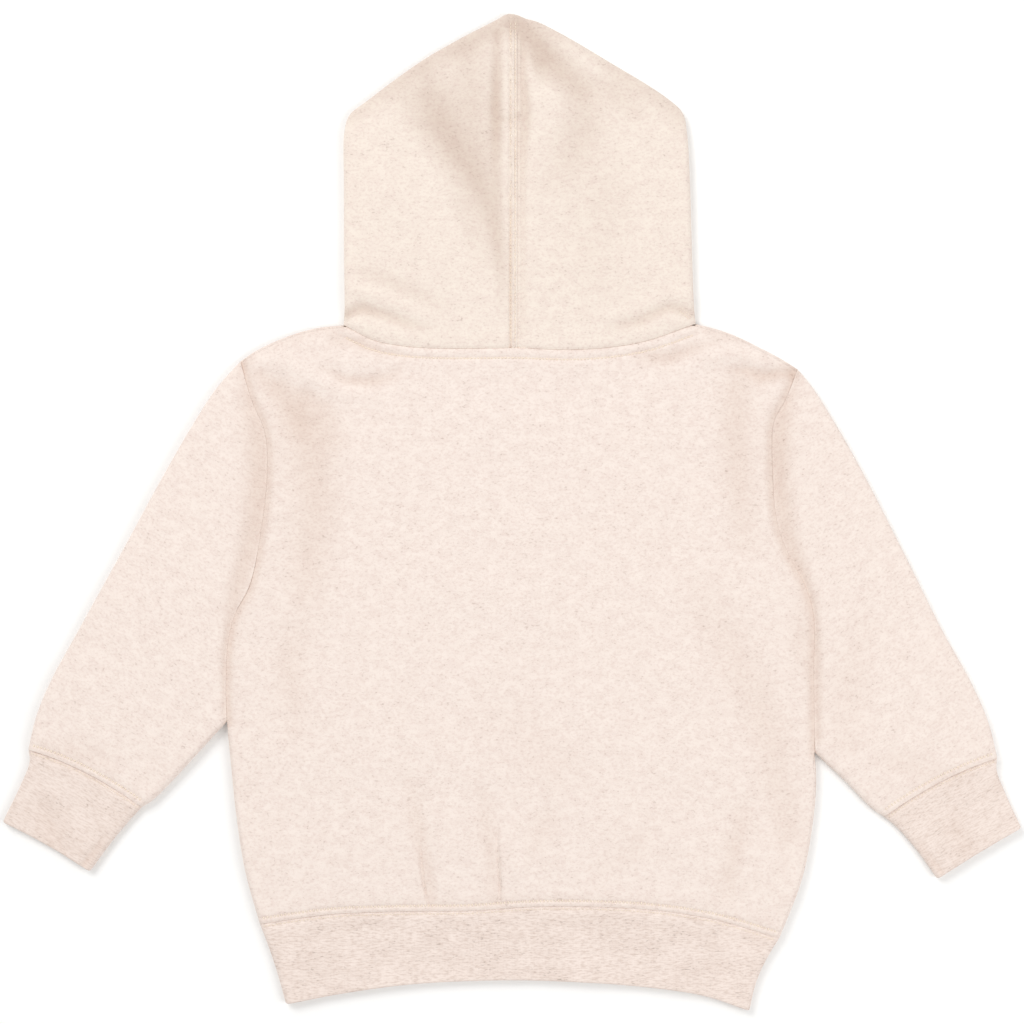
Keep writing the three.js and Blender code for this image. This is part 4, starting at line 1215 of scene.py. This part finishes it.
def stitch_group():
    """Puts a stitch on every point, turned and sized by the point's own attributes."""
    tree = bpy.data.node_groups.new("sew_rows", "GeometryNodeTree")
    sockets = (
        ("Rows", "NodeSocketGeometry", None),
        ("Stitch", "NodeSocketObject", None),
        ("Thread", "NodeSocketMaterial", None),
        ("Unevenness", "NodeSocketFloat", STITCH_UNEVENNESS),
        ("Seed", "NodeSocketInt", STITCH_SEED),
    )
    for name, kind, default in sockets:
        made = tree.interface.new_socket(name, in_out="INPUT", socket_type=kind)
        if default is not None:
            made.default_value = default
    tree.interface.new_socket("Sewing", in_out="OUTPUT", socket_type="NodeSocketGeometry")
    inputs = add_node(tree, "NodeGroupInput").outputs
    stitch = add_node(tree, "GeometryNodeObjectInfo", {"Object": inputs["Stitch"]}).outputs["Geometry"]
    turn = add_node(tree, "GeometryNodeInputNamedAttribute", {"Name": "turn"}, data_type="FLOAT_VECTOR")
    size = add_node(tree, "GeometryNodeInputNamedAttribute", {"Name": "size"}, data_type="FLOAT_VECTOR")
    least = maths(tree, "SUBTRACT", 1.0, inputs["Unevenness"])
    most = maths(tree, "ADD", 1.0, inputs["Unevenness"])
    chance = add_node(tree, "FunctionNodeRandomValue", data_type="FLOAT")
    random_sockets = [socket for socket in chance.inputs if socket.enabled]
    tree.links.new(least, random_sockets[0])
    tree.links.new(most, random_sockets[1])
    tree.links.new(inputs["Seed"], chance.inputs["Seed"])
    factor = [socket for socket in chance.outputs if socket.enabled][0]
    scaling = {0: size.outputs["Attribute"], "Scale": factor}
    scale = add_node(tree, "ShaderNodeVectorMath", scaling, operation="SCALE").outputs[0]
    rotation = turn.outputs["Attribute"]
    placing = {"Points": inputs["Rows"], "Instance": stitch, "Rotation": rotation, "Scale": scale}
    placed = add_node(tree, "GeometryNodeInstanceOnPoints", placing).outputs[0]
    real = add_node(tree, "GeometryNodeRealizeInstances", {0: placed}).outputs[0]
    finished = add_node(tree, "GeometryNodeSetMaterial", {"Geometry": real, "Material": inputs["Thread"]})
    output = add_node(tree, "NodeGroupOutput")
    tree.links.new(finished.outputs[0], output.inputs[0])
    return tree


def row_along(line, pitch, length, width, lean=0.0, start=0.0, end=0.0):
    """Stitches along a line of the plan: place, direction in degrees, length and width in millimetres."""
    run = run_of(line)
    wanted = np.arange(start + pitch / 2, run[-1] - end, pitch)
    x = np.interp(wanted, run, line[:, 0])
    y = np.interp(wanted, run, line[:, 1])
    ahead_x = np.interp(wanted + PROBE, run, line[:, 0]) - np.interp(wanted - PROBE, run, line[:, 0])
    ahead_y = np.interp(wanted + PROBE, run, line[:, 1]) - np.interp(wanted - PROBE, run, line[:, 1])
    direction = np.arctan2(ahead_y, ahead_x) + math.radians(lean)
    return np.stack([x, y, direction, np.full(len(x), length), np.full(len(x), width)], axis=1)


def seats(stitches, height, on_top):
    """Place, turn and size of each stitch, square to the cloth of this height."""
    plan = stitches[:, :2]
    surface = height.top if on_top else height.base
    z = surface(plan)
    slope_x = (surface(plan + [PROBE, 0]) - surface(plan - [PROBE, 0])) / (2 * PROBE)
    slope_y = (surface(plan + [0, PROBE]) - surface(plan - [0, PROBE])) / (2 * PROBE)
    lift = STITCH_LIFT if on_top else -STITCH_SINK
    points, turns, sizes = [], [], []
    for i, (x, y, direction, length, width) in enumerate(stitches):
        up = Vector((-slope_x[i], -slope_y[i], 1)).normalized()
        if not on_top:
            up = -up
        along = Vector((math.cos(direction), math.sin(direction), 0))
        along = (along - up * along.dot(up)).normalized()
        basis = Matrix((along, up.cross(along), up)).transposed()
        place = Vector((x, y, z[i])) + up * width * lift
        points.append(((place.x - PLAN_MIDDLE[0]) * MM, (place.y - PLAN_MIDDLE[1]) * MM, place.z * MM))
        turns.append(tuple(basis.to_euler()))
        sizes.append((length, width, width))
    return points, turns, sizes


def sew(name, rows, height, group, stitch, thread, on_top=True):
    """Sews rows of stitches on to the cloth of this height, and returns them as one plain mesh."""
    points, turns, sizes = seats(np.concatenate(rows), height, on_top)
    mesh = bpy.data.meshes.new(name + "_rows")
    mesh.from_pydata(points, [], [])
    store(mesh, "turn", turns)
    store(mesh, "size", sizes)
    source = new_object(name + "_rows", mesh)
    modifier = source.modifiers.new("sew", "NODES")
    modifier.node_group = group
    sockets = {item.name: item.identifier for item in group.interface.items_tree if item.in_out == "INPUT"}
    modifier[sockets["Stitch"]] = stitch
    modifier[sockets["Thread"]] = thread
    modifier[sockets["Unevenness"]] = STITCH_UNEVENNESS
    modifier[sockets["Seed"]] = STITCH_SEED
    source.update_tag()
    evaluated = source.evaluated_get(bpy.context.evaluated_depsgraph_get())
    made = bpy.data.meshes.new_from_object(evaluated)
    made.name = name
    bpy.data.objects.remove(source)
    return new_object(name, made)


def beside_rib_seam(seam, upwards, on_fleece, on_top):
    """The cover stitches beside a rib seam: upright ticks on the fleece, a flat row on the rib."""
    margin = RIB_ROWS["margin"] if on_top else RIB_ROWS["margin_under"]
    if on_fleece:
        line = moved(seam, upwards * RIB_ROWS["fleece"])
        return row_along(line, *FLEECE_TICK, TICK_LEAN, margin, margin)
    return row_along(moved(seam, -upwards * RIB_ROWS["rib"]), *RIB_STITCH, 0, margin, margin)


def build_sewing(group, stitch, thread):
    def beside_middle(distance, low, high):
        x = HOOD_SEAM["x"] + distance
        return row_along(np.array([[x, low], [x, high]], float), *FLAT_STITCH)

    margin, hem = NECK_ROW["margin"], FACE_HEM["offset"]
    neck = row_along(moved(BACK_NECK_LINE, -NECK_ROW["offset"]), *NECK_STITCH, NECK_LEAN, margin, margin)
    middle = [beside_middle(-offset, *HOOD_ROWS["y"]) for offset in HOOD_ROWS["offsets"]]
    corner = [row_along(np.array(ends), *CORNER_STITCH) for ends in CORNER_ROWS]
    waist = {
        (on_fleece, on_top): beside_rib_seam(WAIST_SEAM, 1, on_fleece, on_top)
        for on_fleece in (True, False)
        for on_top in (True, False)
    }
    # Name, rows, the cloth that they are sewn to, and whether they show on top.
    sewing = [
        ("stitches_back", [neck, waist[True, True]], "back", True),
        ("stitches_front", [waist[True, False]], "back", False),
        ("stitches_waistband_top", [waist[False, True]], "waistband", True),
        ("stitches_waistband_under", [waist[False, False]], "waistband", False),
        ("stitches_hood_left_top", middle, "hood_left", True),
        ("stitches_hood_right_top", corner, "hood_right", True),
        ("stitches_hood_left_under", [beside_middle(-hem, *FACE_HEM["y"])], "hood_left", False),
        ("stitches_hood_right_under", [beside_middle(hem, *FACE_HEM["y"])], "hood_right", False),
    ]
    for side, upwards in (("left", 1), ("right", -1)):
        for on_top, label in ((True, "top"), (False, "under")):
            for kind, on_fleece in (("sleeve", True), ("cuff", False)):
                cloth_name = f"{kind}_{side}"
                row = beside_rib_seam(CUFF_SEAMS[side], upwards, on_fleece, on_top)
                sewing.append((f"stitches_{cloth_name}_{label}", [row], cloth_name, on_top))
    return {
        name: sew(name, rows, HEIGHTS[cloth_name], group, stitch, thread, on_top)
        for name, rows, cloth_name, on_top in sewing
    }


def build_cloth():
    fleece = brushed_fleece("heather_fleece", FLEECE_BASE, FLEECE_PAINTED_SHADE)
    hood_fleece = brushed_fleece("heather_fleece_hood", HOOD_BASE, HOOD_PAINTED_SHADE)
    cuff_rib = marled_rib("marled_rib_cuffs", CUFF_MARL)
    waistband_rib = marled_rib("marled_rib_waistband", WAISTBAND_MARL)
    body = HEIGHTS["back"]
    cloth = {
        "back_panel": body_panel("cloth_back_panel", True, BACK_NECKLINE, body, TOP_SPACING),
        "front_panel": body_panel("cloth_front_panel", False, FRONT_NECKLINE, body, UNDER_SPACING),
        "waistband": build_waistband(HEIGHTS["waistband"]),
    }
    for side in SIDES:
        cloth["sleeve_" + side] = build_sleeve(side, HEIGHTS["sleeve_" + side])
        cloth["cuff_" + side] = build_cuff(side, HEIGHTS["cuff_" + side])
        cloth["hood_" + side] = build_hood(side, HEIGHTS["hood_" + side])
    materials = {"hood": hood_fleece, "cuff": cuff_rib, "waistband": waistband_rib}
    for node, piece in cloth.items():
        piece.data.materials.append(materials.get(node.split("_")[0], fleece))
    return cloth


def sewn_on(node):
    """Names of the rows of stitches on a piece of cloth."""
    if node.endswith("_panel"):
        return ["stitches_" + node.removesuffix("_panel")]
    return [f"stitches_{node}_top", f"stitches_{node}_under"]


def build_floor():
    mesh = bpy.data.meshes.new("floor")
    half, z = FLOOR_HALF, -FLOOR_DROP
    corners = [(-half, -half, z), (half, -half, z), (half, half, z), (-half, half, z)]
    mesh.from_pydata(corners, [], [(0, 1, 2, 3)])
    mesh.materials.append(floor_paper())
    return new_object("floor", mesh)


def add_light(name, place, size, power):
    """A softbox that faces the origin."""
    data = bpy.data.lights.new(name, "AREA")
    data.shape = "RECTANGLE"
    data.size, data.size_y = size
    data.energy = power
    light = new_object(name, data)
    light.location = place
    light.rotation_euler = (-Vector(place)).to_track_quat("-Z", "Y").to_euler()


def add_camera():
    camera = new_object("camera", bpy.data.cameras.new("camera"))
    camera.data.lens = LENS
    camera.data.sensor_width = SENSOR_WIDTH
    camera.location = CAMERA_PLACE
    bpy.context.scene.camera = camera
    bpy.context.scene.view_settings.view_transform = "Standard"


def build_stage():
    world = bpy.data.worlds.new("studio")
    world.use_nodes = True
    background = world.node_tree.nodes["Background"]
    background.inputs[0].default_value = SKY
    background.inputs[1].default_value = SKY_STRENGTH
    bpy.context.scene.world = world
    for name, (place, size, power) in LIGHTS.items():
        add_light(name, place, size, power)
    add_camera()
    return build_floor()


cloth = build_cloth()
sewing = build_sewing(stitch_group(), stitch_mesh(), sewing_thread())
floor = build_stage()

for node, piece in cloth.items():
    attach(piece, "root")
    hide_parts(node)
    for name in sewn_on(node):
        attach(sewing[name], "root")
